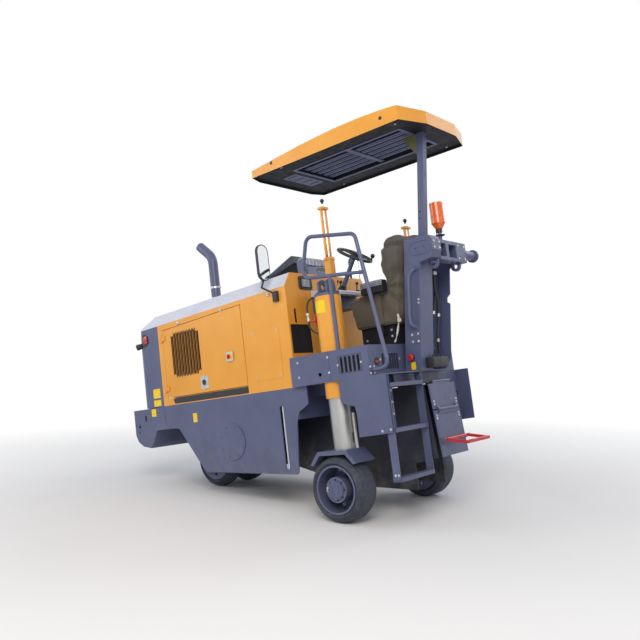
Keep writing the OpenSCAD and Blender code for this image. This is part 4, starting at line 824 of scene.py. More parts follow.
columnTrim = {
    "face": 0.1802,
    "grabBar": [(-0.708, 0.179, 2.082), (-0.694, 0.220, 2.070), (-0.655, 0.236, 2.006), (-0.630, 0.238, 1.830),
                (-0.611, 0.238, 1.650), (-0.620, 0.224, 1.594), (-0.635, 0.179, 1.573)],
    "grabRadius": 0.016,
    "footPlate": (-0.610, 1.484), "footBolts": [(-0.580, 1.515), (-0.642, 1.517), (-0.638, 1.452), (-0.580, 1.454)],
    "slot": (-0.771, 2.253), "slotHoles": [(-0.728, 2.254), (-0.814, 2.252)],
    "stopButton": (-0.551, 1.320), "stopTag": (-0.551, 1.245),
    "hoses": [[(-0.648, -0.262, 2.142), (-0.624, -0.262, 1.99), (-0.608, -0.220, 1.78), (-0.575, -0.140, 1.52),
               (-0.556, -0.190, 1.35), (-0.545, -0.205, 1.211)],
              [(-0.660, -0.215, 2.142), (-0.634, -0.225, 1.98), (-0.622, -0.262, 1.76), (-0.590, -0.235, 1.50),
               (-0.566, -0.265, 1.36), (-0.550, -0.262, 1.211)]],
    "hoseRadius": 0.012,
}


@asPiece("frameSlate")
def grabBar(shape):
    addHose(shape, columnTrim["grabBar"], columnTrim["grabRadius"], 18)
    for x, y, z in (columnTrim["grabBar"][0], columnTrim["grabBar"][-1]):
        addRound(shape, (x, y, z), (x, y + 0.006, z), 0.026)


@asPiece("frameSlate")
def columnPlates(shape):
    x, z = columnTrim["footPlate"]
    addPlate(shape, roundedOutline(0.104, 0.096, 0.012), (x, columnTrim["face"], z), up, forwards, 0.003)
    x, z = columnTrim["slot"]
    ring = roundedOutline(0.112, 0.214, 0.052, 8)
    addHose(shape, [(x + v, columnTrim["face"] + 0.0005, z + u) for u, v in ring + ring[:1]], 0.0032, 8)
    addPlate(shape, roundedOutline(0.062, 0.150, 0.028), (x, columnTrim["face"], z - 0.004), up, forwards, 0.0014)


# Black discs in the column's holes: painted shade inside the holes
@asPiece("blackPlastic")
def columnHoleShade(shape):
    for x, z in columnTrim["slotHoles"]:
        addRound(shape, (x, columnTrim["face"], z), (x, columnTrim["face"] + 0.0021, z), 0.0085, 20)
    addRound(shape, (-0.766, 0.0862, 2.592), (-0.766, 0.0874, 2.592), 0.009, 20)
    addRound(shape, (-0.758, 0.0862, 2.533), (-0.758, 0.0874, 2.533), 0.009, 20)


@asPiece("blackPlastic")
def columnBox(shape):
    addBlock(shape, (-0.700, -0.175, 1.213), (-0.632, 0.105, 1.305), 0.005)
    addBlock(shape, (-0.706, -0.165, 1.222), (-0.699, 0.095, 1.296), 0.002)
    for y in (-0.13, -0.07, 0.01):
        addRound(shape, (-0.66, y, 1.300), (-0.66, y, 1.325), 0.011)


@asPiece("hoseRubber")
def columnHoses(shape):
    for path in columnTrim["hoses"]:
        addHose(shape, path, columnTrim["hoseRadius"])


@asPiece("plateSilver")
def hoseCollars(shape):
    for path in columnTrim["hoses"]:
        spots = smoothPath(path)
        for at in (3, 22, 31):
            way = (spots[at + 1] - spots[at]).normalized()
            addRound(shape, spots[at], spots[at] + way * 0.030, columnTrim["hoseRadius"] + 0.0035, 16)


@asPiece("blackPlastic")
def stopButtonNeck(shape):
    x, z = columnTrim["stopButton"]
    addRound(shape, (x, 0.180, z), (x, 0.186, z), 0.026)
    addRound(shape, (x, 0.185, z), (x, 0.202, z), 0.013)


@asPiece("bailRed")
def stopButtonHead(shape):
    x, z = columnTrim["stopButton"]
    addRound(shape, (x, 0.201, z), (x, 0.214, z), 0.022, endRadius=0.029, edge=0.003)
    addRound(shape, (x, 0.213, z), (x, 0.221, z), 0.029, endRadius=0.020, edge=0.003)


columnBoltPoints = [((x, 0.1832, z), left) for x, z in columnTrim["footBolts"]]
columnBoltPoints += [((-0.4981, -0.306, 1.400), rearwards), ((-0.4898, -0.303, 1.340), rearwards)]
columnBoltPoints += [((-0.8992, y, z), rearwards) for y in (0.062, 0.148) for z in (2.235, 2.290)]
columnBoltPoints += [((-0.8852, y, z), rearwards) for y in (-0.410, -0.300) for z in (2.172, 2.290)]
addBolts("columnBolts", columnBoltPoints)


@asPiece("stickerYellow")
def rearTags(shape):  # blank tags under the stop button and on the wall behind the ladder
    x, z = columnTrim["stopTag"]
    addPlate(shape, roundedOutline(0.066, 0.046, 0.003), (x, columnTrim["face"], z), up, forwards, 0.0009)
    addPlate(shape, roundedOutline(0.096, 0.080, 0.004), (-0.4702, 0.490, 0.903), up, left, 0.0009)


print("column dressed")


# ---- the wall behind the ladder, the flap's bolts and the coupling beside it

recessTrim = {"wall": -0.470, "door": (0.455, 0.660, 0.800, 1.120), "latch": (0.490, 0.996),
              "bolts": (1.060, 0.960, 0.860)}


@asPiece("frameSlate")
def recessDoor(shape):
    y0, y1, z0, z1 = recessTrim["door"]
    addBlock(shape, (recessTrim["wall"] - 0.003, y0, z0), (recessTrim["wall"] + 0.001, y1, z1), 0.0015)


@asPiece("blackPlastic")
def recessLatch(shape):
    y, z = recessTrim["latch"]
    addRound(shape, (-0.4725, y, z), (-0.4790, y, z), 0.017)
    addBlock(shape, (-0.4850, y - 0.007, z - 0.018), (-0.4775, y + 0.007, z + 0.018), 0.002)


addBolts("recessBolts", [((-0.4732, y, z), rearwards) for y in (0.468, 0.648) for z in recessTrim["bolts"]])

couplingLook = {"y": -0.470, "x": -0.560, "low": 0.835, "high": 0.975}


@asPiece("blackParts")
def sideCoupling(shape):
    x, y, low, high = (couplingLook[key] for key in ("x", "y", "low", "high"))
    addRound(shape, (x, y, low), (x, y, high), 0.021)
    for z0, z1 in ((low - 0.016, low), (high, high + 0.016)):
        addRound(shape, (x, y, z0), (x, y, z1), 0.030)
    for z in (low + 0.030, high - 0.030):
        addRound(shape, (-0.4695, y, z), (x, y, z), 0.013)


flapLook = {"hinge": (-0.632, 1.092), "rake": math.radians(4.6), "middle": -0.096}


def onFlap(x, z):
    turn = flapLook["rake"]
    return (flapLook["hinge"][0] + x * math.cos(turn) + z * math.sin(turn),
            flapLook["hinge"][1] - x * math.sin(turn) + z * math.cos(turn))


def flapBolts(depths, reach):
    facing = (-math.cos(flapLook["rake"]), 0, math.sin(flapLook["rake"]))
    points = []
    for z in depths:
        for side in sides:
            x, height = onFlap(-0.0082, z)
            points.append(((x, flapLook["middle"] + side * reach, height), facing))
    return points


addBolts("flapUpperBolts", flapBolts((-0.172, -0.198), 0.192), body="flap_upper")
addBolts("flapLowerBolts", flapBolts((-0.298, -0.322), 0.192), body="flap_lower")


def flapHem(shape, low, high, inset):
    for side in sides:
        y = flapLook["middle"] + side * inset
        x0, z0 = onFlap(-0.0080, low)
        x1, z1 = onFlap(-0.0080, high)
        addHose(shape, [(x0, y, z0), ((x0 + x1) / 2, y, (z0 + z1) / 2), (x1, y, z1)], 0.0030, 8)


makePiece("flapUpperHems", lambda shape: flapHem(shape, -0.235, -0.030, 0.215), "frameSlate", "flap_upper")
makePiece("flapLowerHems", lambda shape: flapHem(shape, -0.640, -0.258, 0.215), "frameSlate", "flap_lower")
print("rear end dressed")


# ---- legs and gauges: hoses with their fittings, clips and knobs

legTrim = {"hose": [(0.078, 0.652, 1.946), (0.124, 0.668, 1.942), (0.160, 0.672, 1.895), (0.172, 0.668, 1.822)],
           "fitting": [(0.172, 0.668, 1.826), (0.170, 0.664, 1.752)],
           "tail": [(0.170, 0.664, 1.754), (0.168, 0.660, 1.700), (0.146, 0.640, 1.655), (0.102, 0.620, 1.628)],
           "radius": 0.008}


def mirrored(points, side):
    return [(x, side * y, z) for x, y, z in points]


@asPiece("hoseRubber")
def legHoses(shape):
    for side in sides:
        addHose(shape, mirrored(legTrim["hose"], side), legTrim["radius"])
        addHose(shape, mirrored(legTrim["tail"], side), legTrim["radius"])


@asPiece("plateSilver")
def legFittings(shape):
    for side in sides:
        start, end = mirrored(legTrim["fitting"], side)
        addRound(shape, start, end, 0.0095, 16)
        addRound(shape, start, Vector(start) + (Vector(end) - Vector(start)) * 0.28, 0.0135, 6)
        addRound(shape, Vector(start) + (Vector(end) - Vector(start)) * 0.62, end, 0.0125, 6)


@asPiece("bailRed")
def legClips(shape):
    for side in sides:
        for low, x1, high in ((1.716, 0.112, 1.784), (1.744, 0.164, 1.752)):
            addBlock(shape, (0.104, side * 0.610, low), (x1, side * 0.652, high), 0.0015)


gaugeTrim = {"places": [(0.050, 0.416, 2.330, 2.790), (-0.250, -0.495, 2.183, 2.637)], "tube": 0.026,
             "knob": (0.076, 0.0192)}


@asPiece("bailRed")
def gaugeClips(shape):
    for x, y, top, bracket in gaugeTrim["places"]:
        for side in sides:
            middle = y + side * gaugeTrim["tube"]
            addRound(shape, (x, middle, top - 0.0005), (x, middle, top + 0.022), 0.0140, endRadius=0.0115, edge=0.003)


@asPiece("bodyYellow")
def gaugeBars(shape):  # the flat bars that guide the bright rod
    for x, y, top, bracket in gaugeTrim["places"]:
        for side in sides:
            addBlock(shape, (x - 0.0095, y + side * 0.0135, top + 0.0225),
                     (x + 0.0095, y + side * 0.0390, bracket - 0.0005), 0.002)
        addBlock(shape, (x - 0.030, y - 0.046, bracket - 0.010), (x + 0.030, y + 0.046, bracket + 0.013), 0.003)


@asPiece("blackPlastic")
def gaugeKnobs(shape):
    for x, y, top, bracket in gaugeTrim["places"]:
        height, radius = gaugeTrim["knob"]
        addBall(shape, (x, y, bracket + height), radius)
        addRound(shape, (x, y, bracket + 0.044), (x, y, bracket + 0.060), 0.0095, 16)


@asPiece("bodyYellow")
def gaugeCollars(shape):
    for x, y, top, bracket in gaugeTrim["places"]:
        addBlock(shape, (x - 0.038, y - 0.038, top - 0.030), (x + 0.038, y + 0.038, top - 0.010), 0.002)
        for side in sides:
            addRound(shape, (x, y + side * 0.038, top - 0.020), (x, y + side * 0.050, top - 0.020), 0.007, 12)


print("legs and gauges dressed")


# ---- canopy: gusset at the post, slate ribs and rails under the liner, a dark sheet of painted shade above the ribs, holes in the shell with black discs of painted shade in them

canopyTrim = {
    "liner": 3.290, "frame": 3.310,
    "gusset": [(-0.8170, 3.100), (-0.7000, 3.246), (-0.6900, 3.2895), (-0.8430, 3.2895)],
    "holes": [(-0.782, 3.341), (0.496, 3.344)],
    "bolts": [(0.429, -0.492), (-0.820, -0.489), (-0.852, 0.444), (0.429, 0.492)],
    "crossBar": -0.230, "window": (-0.790, 0.400, 0.300),
    "middle": -0.119, "length": 1.862, "width": 1.112, "nose": (0.400, 0.052), "tail": (0.250, 0.095),
    "lip": [(-0.0006, 3.2690), (0.0090, 3.2690), (0.0090, 3.2897), (0.0064, 3.2897), (0.0064, 3.2701),
            (-0.0006, 3.2701)],
    "plate": (0.485, 0.655, 0.230),
}


@asPiece("oliveBracket")
def canopyGusset(shape):
    for y in (0.040, 0.066):
        addFlankPlate(shape, canopyTrim["gusset"], 1, y, 0.006)
    addRound(shape, (-0.760, 0.038, 3.230), (-0.760, 0.074, 3.230), 0.012, 16)
    addRound(shape, (-0.800, 0.038, 3.170), (-0.800, 0.074, 3.170), 0.009, 16)


@asPiece("frameSlate")
def canopyRails(shape):
    x0, x1, half = canopyTrim["window"]
    low, high = canopyTrim["liner"] - 0.005, canopyTrim["liner"] + 0.0005
    for side in sides:
        addBlock(shape, (x0 - 0.030, side * (half + 0.002), low), (x1 + 0.030, side * (half + 0.034), high), 0.0012)
    for x in (x0 - 0.034, x1 + 0.002):
        addBlock(shape, (x, -half - 0.002, low), (x + 0.032, half + 0.002, high), 0.0012)
    x, top = canopyTrim["crossBar"], canopyTrim["frame"]
    addBlock(shape, (x - 0.004, -half - 0.001, top - 0.012), (x + 0.044, half + 0.001, top), 0.002)


@asPiece("blackParts")
def canopyShadeSheet(shape):  # folded dark sheet above the ribs, under the yellow shell: painted shade for the gaps between the ribs
    x0, x1, half = canopyTrim["window"]
    folds = 24
    rows = []
    for x in (x0 + 0.002, x1 - 0.002):
        for z in (3.3345, 3.3365):
            rows.append([shape.verts.new((x, -half + 2 * half * i / folds, z + 0.002 * (i % 2)))
                         for i in range(folds + 1)])
    for first, second in ((0, 1), (1, 3), (3, 2), (2, 0)):
        for i in range(folds):
            shape.faces.new((rows[first][i], rows[first][i + 1], rows[second][i + 1], rows[second][i]))
    for i in (0, folds):
        shape.faces.new([rows[k][i] for k in (0, 1, 3, 2)])


# Black discs in the shell's holes: painted shade inside the holes
@asPiece("blackPlastic")
def canopyHoleShade(shape):
    for side in sides:
        for x, z in canopyTrim["holes"]:
            addRound(shape, (x, side * 0.5555, z), (x, side * 0.5574, z), 0.0165, 24)


def canopyPlan(inset):  # the eight corners of the canopy, seen from above
    middle, reach, half = canopyTrim["middle"], canopyTrim["length"] / 2 - inset, canopyTrim["width"] / 2 - inset
    (noseHalf, noseCut), (tailHalf, tailCut) = canopyTrim["nose"], canopyTrim["tail"]
    right = [(middle - reach, -tailHalf), (middle - reach + tailCut - inset / 2, -half),
             (middle + reach - noseCut + inset / 2, -half), (middle + reach, -noseHalf)]
    return right + [(x, -y) for x, y in right[::-1]]


@asPiece("blackParts")
def canopyLip(shape):  # dark trim round the inside and under the lower edge of the shell
    rows = [[shape.verts.new((x, y, z)) for x, y in canopyPlan(inset)] for inset, z in canopyTrim["lip"]]
    joinRings(shape, rows, capped=False)


@asPiece("frameSlate")
def canopyPlate(shape):  # raised blank plate in front of the window, with four low ribs
    x0, x1, half = canopyTrim["plate"]
    low = canopyTrim["liner"]
    addPlate(shape, roundedOutline(2 * half, x1 - x0, 0.02), ((x0 + x1) / 2, 0, low), (0, 1, 0), (1, 0, 0), 0.003)
    for i in range(4):
        y = -0.75 * half + i * half / 2
        addBlock(shape, (x0 + 0.03, y - 0.014, low - 0.008), (x1 - 0.03, y + 0.014, low - 0.0025), 0.002)


addBolts("canopyBolts", [((x, y, canopyTrim["liner"] - 0.0002), (0, 0, -1)) for x, y in canopyTrim["bolts"]])
for name, x0, x1 in (("canopyRibsRear", -0.778, -0.236), ("canopyRibsFront", -0.184, 0.388)):
    for word, z, size in (("", 3.313, (x1 - x0, 0.062, 0.011)), ("Folds", 3.306, (x1 - x0 - 0.02, 0.010, 0.006))):
        growPiece(name + word, "bars", {"count": 5, "start": ((x0 + x1) / 2, -0.218, z), "step": (0, 0.096, 0),
                                        "bar size": size}, "frameSlate")
print("canopy dressed")


# ---- beacon, steering wheel, dashboard and console

beaconTrim = {"x": -0.805, "y": -0.150, "collars": [(2.386, 2.394, 0.044), (2.416, 2.446, 0.026)],
              "seams": (2.502, 2.560, 2.676)}


@asPiece("blackPlastic")
def beaconCollars(shape):
    x, y = beaconTrim["x"], beaconTrim["y"]
    for low, high, radius in beaconTrim["collars"]:
        addRound(shape, (x, y, low), (x, y, high), radius)
    addRound(shape, (x + 0.030, y, 2.390), (x + 0.034, y, 2.452), 0.005, 10)


@asPiece("beaconOrange")
def beaconSeams(shape):
    x, y = beaconTrim["x"], beaconTrim["y"]
    for z in beaconTrim["seams"]:
        addRound(shape, (x, y, z), (x, y, z + 0.005), 0.0645, 48)


steerLook = {"centre": Vector((0.020, 0.050, 2.375)), "tilt": math.radians(33), "rim": 0.165}
steerUp = Vector((-math.sin(steerLook["tilt"]), 0, math.cos(steerLook["tilt"])))
steerAlong = Vector((math.cos(steerLook["tilt"]), 0, math.sin(steerLook["tilt"])))


def onWheel(along, across, up):
    return steerLook["centre"] + steerAlong * along + Vector((0, 1, 0)) * across + steerUp * up


@asPiece("blackPlastic", "steering_wheel")
def steeringTrim(shape):
    addRound(shape, onWheel(0, 0, 0.019), onWheel(0, 0, 0.030), 0.034, endRadius=0.028, edge=0.003)
    grip = onWheel(-0.146, -0.076, 0.012)
    addRound(shape, grip, grip + steerUp * 0.030, 0.009, 16)
    addBall(shape, grip + steerUp * 0.042, 0.021)
    for i in range(24):  # finger grooves' ridges along the underside of the rim
        a = 2 * math.pi * i / 24
        at = onWheel(steerLook["rim"] * math.cos(a), steerLook["rim"] * math.sin(a), 0)
        out = (at - steerLook["centre"]).normalized()
        addRound(shape, at + out * 0.011 - steerUp * 0.003, at + out * 0.017 - steerUp * 0.003, 0.004, 8)



dashLook = {"slope": math.radians(2.3), "foot": (0.420, 2.130), "rise": 0.130, "middle": 0.050,
            "face": ((0.020, 0.0), (0.060, 0.165)), "plate": (0.070, 0.026, 0.024), "plateY": 0.020, "plateRise": 0.070}


def onHood(x, z):
    turn = dashLook["slope"]
    z = z + dashLook["rise"]
    return Vector((dashLook["foot"][0] + x * math.cos(turn) + z * math.sin(turn), 0,
                   dashLook["foot"][1] - x * math.sin(turn) + z * math.cos(turn)))


dashLow, dashHigh = onHood(*dashLook["face"][0]), onHood(*dashLook["face"][1])
dashRise = (dashHigh - dashLow).normalized()
dashOut = Vector((-dashRise.z, 0, dashRise.x))
half, high, point = dashLook["plate"]
plateCorners = [(-half, -high), (half, -high), (half + point, 0), (half, high), (-half, high), (-half - point, 0)]


def onDash(y, rise, out):
    return dashLow + dashRise * rise + dashOut * out + Vector((0, y, 0))


@asPiece("frameSlate")
def dashPanel(shape):
    addPlate(shape, roundedOutline(0.430, 0.120, 0.012), onDash(dashLook["middle"], 0.062, 0.0002), (0, -1, 0),
             dashRise, 0.004)
    for y in (dashLook["middle"] - 0.218, dashLook["middle"] + 0.212):
        addBlock(shape, onDash(y, 0.012, 0.002) - Vector((0.004, 0, 0)), onDash(y + 0.006, 0.120, 0.002), 0.0015)


@asPiece("blackPlastic")
def dashPlate(shape):  # a dark hexagonal plate, left blank
    addPlate(shape, plateCorners, onDash(dashLook["plateY"], dashLook["plateRise"], 0.0042), (0, -1, 0), dashRise,
             0.003)


@asPiece("plateSilver")
def dashPlateEdge(shape):
    spots = [onDash(dashLook["plateY"] - u, dashLook["plateRise"] + v, 0.0068) for u, v in plateCorners]
    for start, end in zip(spots, spots[1:] + spots[:1]):
        addRound(shape, start, end, 0.0028, 8)


def dashFilm(shape, odd):  # creased protective film drawn over the top edge, its strips pale and grey by turns: painted highlight and painted shade on the creases
    for i in range(odd, 18, 2):
        y = dashLook["middle"] - 0.222 + 0.0262 * i
        line = [(onDash(0, 0.108, 0.004), 0.0), (onDash(0, 0.150, 0.010), 0.012), (onHood(0.066, 0.176), 0.022),
                (onHood(0.096, 0.180), 0.028), (onHood(0.128, 0.168), 0.032), (onHood(0.1325, 0.130), 0.034)]
        addHose(shape, [Vector((spot.x, max(min(y - slide, 0.268), -0.168), spot.z)) for spot, slide in line],
                0.0125, 10)


# pale strips carry the painted highlight of the film's creases, grey strips the painted shade
makePiece("dashFilmLitStrips", lambda shape: dashFilm(shape, 0), "filmLitPale")
makePiece("dashFilmShadedStrips", lambda shape: dashFilm(shape, 1), "filmGrey")

hoodWindow = {"face": 0.4198, "middle": (0.356, 2.168), "outer": (0.186, 0.128), "inner": (0.118, 0.074)}


@asPiece("blackPlastic")
def hoodWindowFrame(shape):
    y, z = hoodWindow["middle"]
    addPlate(shape, roundedOutline(hoodWindow["outer"][1], hoodWindow["outer"][0], 0.022), (hoodWindow["face"], y, z),
             up, left, 0.010)
    inner = roundedOutline(hoodWindow["inner"][1] + 0.008, hoodWindow["inner"][0] + 0.008, 0.014)
    addHose(shape, [(hoodWindow["face"] - 0.0105, y + v, z + u) for u, v in inner + inner[:1]], 0.0045, 8)


@asPiece("filmGrey")
def hoodWindowPane(shape):
    y, z = hoodWindow["middle"]
    addPlate(shape, roundedOutline(hoodWindow["inner"][1], hoodWindow["inner"][0], 0.012),
             (hoodWindow["face"] - 0.0098, y, z), up, left, 0.0022)


consoleTrim = {"profile": [(0.062, 2.000), (0.056, 2.024), (0.072, 2.038), (0.418, 2.098), (0.418, 2.036),
                           (0.202, 2.026), (0.170, 2.008)],
               "y": (-0.155, 0.285), "levers": [(0.160, 0.205), (0.160, 0.150), (0.150, -0.095)],
               "knobs": [(0.105, 0.215), (0.105, 0.165), (0.105, -0.060), (0.105, -0.110)]}


def onConsole(x, lift=0):
    return 2.038 + (x - 0.072) * 0.060 / 0.346 + lift


@asPiece("paleCover")
def consoleTop(shape):
    low, high = consoleTrim["y"]
    addPlate(shape, [(z, x) for x, z in consoleTrim["profile"]][::-1], (0, low, 0), up, forwards, high - low)
    for y in (low + 0.035, high - 0.035):
        addRound(shape, (0.100, y, onConsole(0.100, -0.001)), (0.360, y, onConsole(0.360, -0.001)), 0.0050, 10)


@asPiece("blackPlastic")
def consoleLevers(shape):
    for x, y in consoleTrim["levers"]:
        base = Vector((x, y, onConsole(x, -0.002)))
        addRound(shape, base, base + Vector((0, 0, 0.022)), 0.024, endRadius=0.010, edge=0.004)
        addRound(shape, base + Vector((0, 0, 0.018)), base + Vector((-0.010, 0, 0.078)), 0.0055, 12)
        addBall(shape, base + Vector((-0.011, 0, 0.084)), 0.0160, 20, 12)
    for x, y in consoleTrim["knobs"]:
        addRound(shape, (x, y, onConsole(x, -0.002)), (x, y, onConsole(x, 0.016)), 0.012, 16)
    foot = Vector((0.226, 0.050, onConsole(0.226, -0.004)))
    for i in range(4):  # folded boot round the steering column
        addRound(shape, foot + steerUp * 0.016 * i, foot + steerUp * (0.016 * i + 0.013), 0.050 - 0.006 * i, 28,
                 edge=0.004)


lidTrim = {"hinge": (0.146, 0.169), "open": math.radians(12), "ribs": 9, "halfWidth": 0.2255}


def onLid(x, y, z):
    turn = lidTrim["open"]
    return onHood(lidTrim["hinge"][0] + x * math.cos(turn) + z * math.sin(turn),
                  lidTrim["hinge"][1] - x * math.sin(turn) + z * math.cos(turn)) + Vector((0, y, 0))


def addWire(shape, spots, radius):
    for start, end in zip(spots, spots[1:]):
        addRound(shape, start, end, radius, 8)


@asPiece("blackPlastic", "console_lid")
def lidRibs(shape):
    for i in range(lidTrim["ribs"]):
        y = dashLook["middle"] - 0.190 + 0.0475 * i
        addWire(shape, [onLid(x, y, z) for x, z in ((0.030, 0.0712), (0.060, 0.0712), (0.388, 0.0238))], 0.0042)


@asPiece("frameSlate", "console_lid")
def lidEdges(shape):
    for side in sides:
        y = dashLook["middle"] + side * lidTrim["halfWidth"]
        for lift in (-0.012, -0.030):
            line = ((0.040, 0.066 + lift), (0.200, 0.046 + lift), (0.360, 0.026 + lift * 0.5))
            addWire(shape, [onLid(x, y, z) for x, z in line], 0.0050)


print("operator's controls dressed")


# ---- nose: lamp pocket, lamps and seams, painted shade in the flank's hole and round the doors' grille slots; exhaust clamps

noseTrim = {
    "pocket": [(2.476, 1.900), (2.490, 1.972), (2.545, 2.004), (2.590, 1.990), (2.590, 1.858), (2.530, 1.860)],
    "redLens": ((2.498, 1.890), (2.562, 1.974)),
    "workLamp": ((2.612, 0.636, 1.884), (2.668, 0.668, 1.870)), "workLampRadius": 0.034,
    "hole": (2.780, 0.942), "seam": ((2.320, 1.186), (2.306, 0.950)),
}


@asPiece("blackPlastic")
def nosePockets(shape):
    for side in sides:
        addFlankPlate(shape, noseTrim["pocket"], side, 0.6502, 0.0022)
        start, end = mirrored(noseTrim["workLamp"], side)
        addRound(shape, start, end, noseTrim["workLampRadius"] * 0.8, endRadius=noseTrim["workLampRadius"], edge=0.004)
        addBlock(shape, (2.596, side * 0.600, 1.846), (2.620, side * 0.648, 1.906), 0.003)
        # black disc in the flank's hole: painted shade inside the hole
        x, z = noseTrim["hole"]
        addRound(shape, (x, side * 0.6495, z), (x, side * 0.6508, z), 0.012, 20)


@asPiece("lampRed")
def noseRedLenses(shape):
    (x0, z0), (x1, z1) = noseTrim["redLens"]
    for side in sides:
        addBlock(shape, (x0, side * 0.6515, z0), (x1, side * 0.6640, z1), 0.005)
        for i in range(4):
            z = z0 + 0.014 + i * 0.018
            addBlock(shape, (x0 + 0.006, side * 0.6630, z), (x1 - 0.006, side * 0.6652, z + 0.005), 0.001)


@asPiece("lampClear")
def workLampGlass(shape):
    for side in sides:
        start, end = mirrored(noseTrim["workLamp"], side)
        way = (Vector(end) - Vector(start)).normalized()
        addRound(shape, Vector(end) - way * 0.002, Vector(end) + way * 0.003, noseTrim["workLampRadius"] - 0.006, 24)


@asPiece("seamDark")
def frameSeams(shape):
    (x0, z0), (x1, z1) = noseTrim["seam"]
    for side in sides:
        addFlankPlate(shape, [(x1 - 0.0018, z1), (x1 + 0.0018, z1), (x0 + 0.0018, z0), (x0 - 0.0018, z0)], side,
                      0.6501, labels["thick"])


exhaustTrim = {"x": 1.926, "y": 0.100, "radius": 0.0525, "clamps": (2.300, 2.420)}


@asPiece("plateSilver")
def exhaustClamps(shape):
    x, y = exhaustTrim["x"], exhaustTrim["y"]
    for z in exhaustTrim["clamps"]:
        addRound(shape, (x, y, z), (x, y, z + 0.022), exhaustTrim["radius"] + 0.004, 40)
        addBlock(shape, (x - 0.085, y - 0.010, z + 0.003), (x - 0.050, y + 0.010, z + 0.019), 0.002)


coverClips = {"x": (0.640, 1.300, 1.960), "face": 0.6504}


@asPiece("plateSilver")
def coverLatches(shape):  # small hooks that hold the pale cover's lower edge
    for side in sides:
        for x in coverClips["x"]:
            y = side * 0.6595
            base = dashLook["foot"][1] - (x - dashLook["foot"][0]) * math.tan(dashLook["slope"])
            addBlock(shape, (x - 0.016, side * coverClips["face"], base - 0.052),
                     (x + 0.016, side * 0.6590, base - 0.022), 0.002)
            addRound(shape, (x - 0.010, y, base - 0.030), (x + 0.010, y, base - 0.030), 0.0055, 12)


grilleLook = {"first": 2.082, "step": -0.400 / 9, "middle": 1.706, "lengths": (0.380, 0.430), "count": 10,
              "width": 0.022, "edge": 0.0042, "face": 0.6522}


# Black rings round each slot of the doors' grille: painted shade that makes the slots look wider and darker
def grilleShadeEdges(shape, side):
    for i in range(grilleLook["count"]):
        length = grilleLook["lengths"][0 if i in (0, grilleLook["count"] - 1) else 1] + 2 * grilleLook["edge"]
        width = grilleLook["width"] + 2 * grilleLook["edge"] - 0.002
        ring = roundedOutline(length, width, width / 2 - 0.0005)
        x = grilleLook["first"] + i * grilleLook["step"]
        addHose(shape, [(x + v, side * grilleLook["face"], grilleLook["middle"] + u) for u, v in ring + ring[:1]],
                grilleLook["edge"], 8)


for side, word in sideWords:
    makePiece("engine_door_" + word + "_grilleShade", lambda shape: grilleShadeEdges(shape, side), "blackParts",
              "engine_door_" + word)
print("nose and hood trimmed")


# ---- seat: a loose canvas cover over the cushion and the backrest

seatLook = {
    "outline": [(-0.020, 1.652), (-0.052, 1.6403), (-0.470, 1.6403), (-0.508, 1.700), (-0.562, 2.100), (-0.588, 2.400),
                (-0.560, 2.455), (-0.460, 2.440), (-0.390, 2.330), (-0.375, 2.180), (-0.400, 2.050), (-0.385, 1.960),
                (-0.045, 1.932), (0.009, 1.906)],
    "halfWidth": 0.250, "inset": 0.006, "voxel": 0.012, "pressure": 4.0, "steps": 20, "cap": 0.006, "rest": 1.6403,
    "underFlap": (2.338, 0.030, 0.021), "underBulge": (2.088, 0.042, 0.016), "topSlope": 0.12,
    "waist": (-0.395, 1.990), "pleat": 0.0115, "hemWave": 0.0055, "over": 0.003,
    "widths": [(1.60, 1.0), (1.88, 1.0), (2.03, 0.90), (2.22, 0.99), (2.36, 0.975), (2.46, 0.90)],
    "hem": 1.660, "seamRadius": 0.0028,
}


def insetOutline(outline, gap):  # the outline runs clockwise, so inwards is to the right
    moved = []
    for i, here in enumerate(outline):
        before, after = Vector(outline[i - 1]), Vector(outline[(i + 1) % len(outline)])
        here = Vector(here)
        a, b = (here - before).normalized(), (after - here).normalized()
        inA, inB = Vector((a.y, -a.x)), Vector((b.y, -b.x))
        half = (inA + inB).normalized()
        moved.append(here + half * gap / max(half.dot(inA), 0.4))
    return moved


def between(value, low, high):
    t = min(max((value - low) / (high - low), 0), 1)
    return t * t * (3 - 2 * t)


def seatWidth(z):
    table = seatLook["widths"]
    for (z0, w0), (z1, w1) in zip(table, table[1:]):
        if z <= z1:
            return w0 + (w1 - w0) * between(z, z0, z1)
    return table[-1][1]


# Keep a point inside the seat's own outline, give or take the small allowance
def holdInside(spot):
    outline = [Vector(corner) for corner in seatLook["outline"]]
    flat = Vector((spot.x, spot.z))
    best, inside = None, True
    for here, after in zip(outline, outline[1:] + outline[:1]):
        way = (after - here).normalized()
        along = min(max((flat - here).dot(way), 0), (after - here).length)
        near = here + way * along
        if best is None or (flat - near).length < (flat - best).length:
            best = near
            inside = (flat - here).dot(Vector((way.y, -way.x))) >= 0
    if not inside and (flat - best).length > seatLook["over"]:
        flat = best + (flat - best).normalized() * seatLook["over"]
    reach = seatLook["halfWidth"] + seatLook["over"]
    return Vector((flat.x, min(max(spot.y, -reach), reach), max(flat.y, seatLook["rest"])))


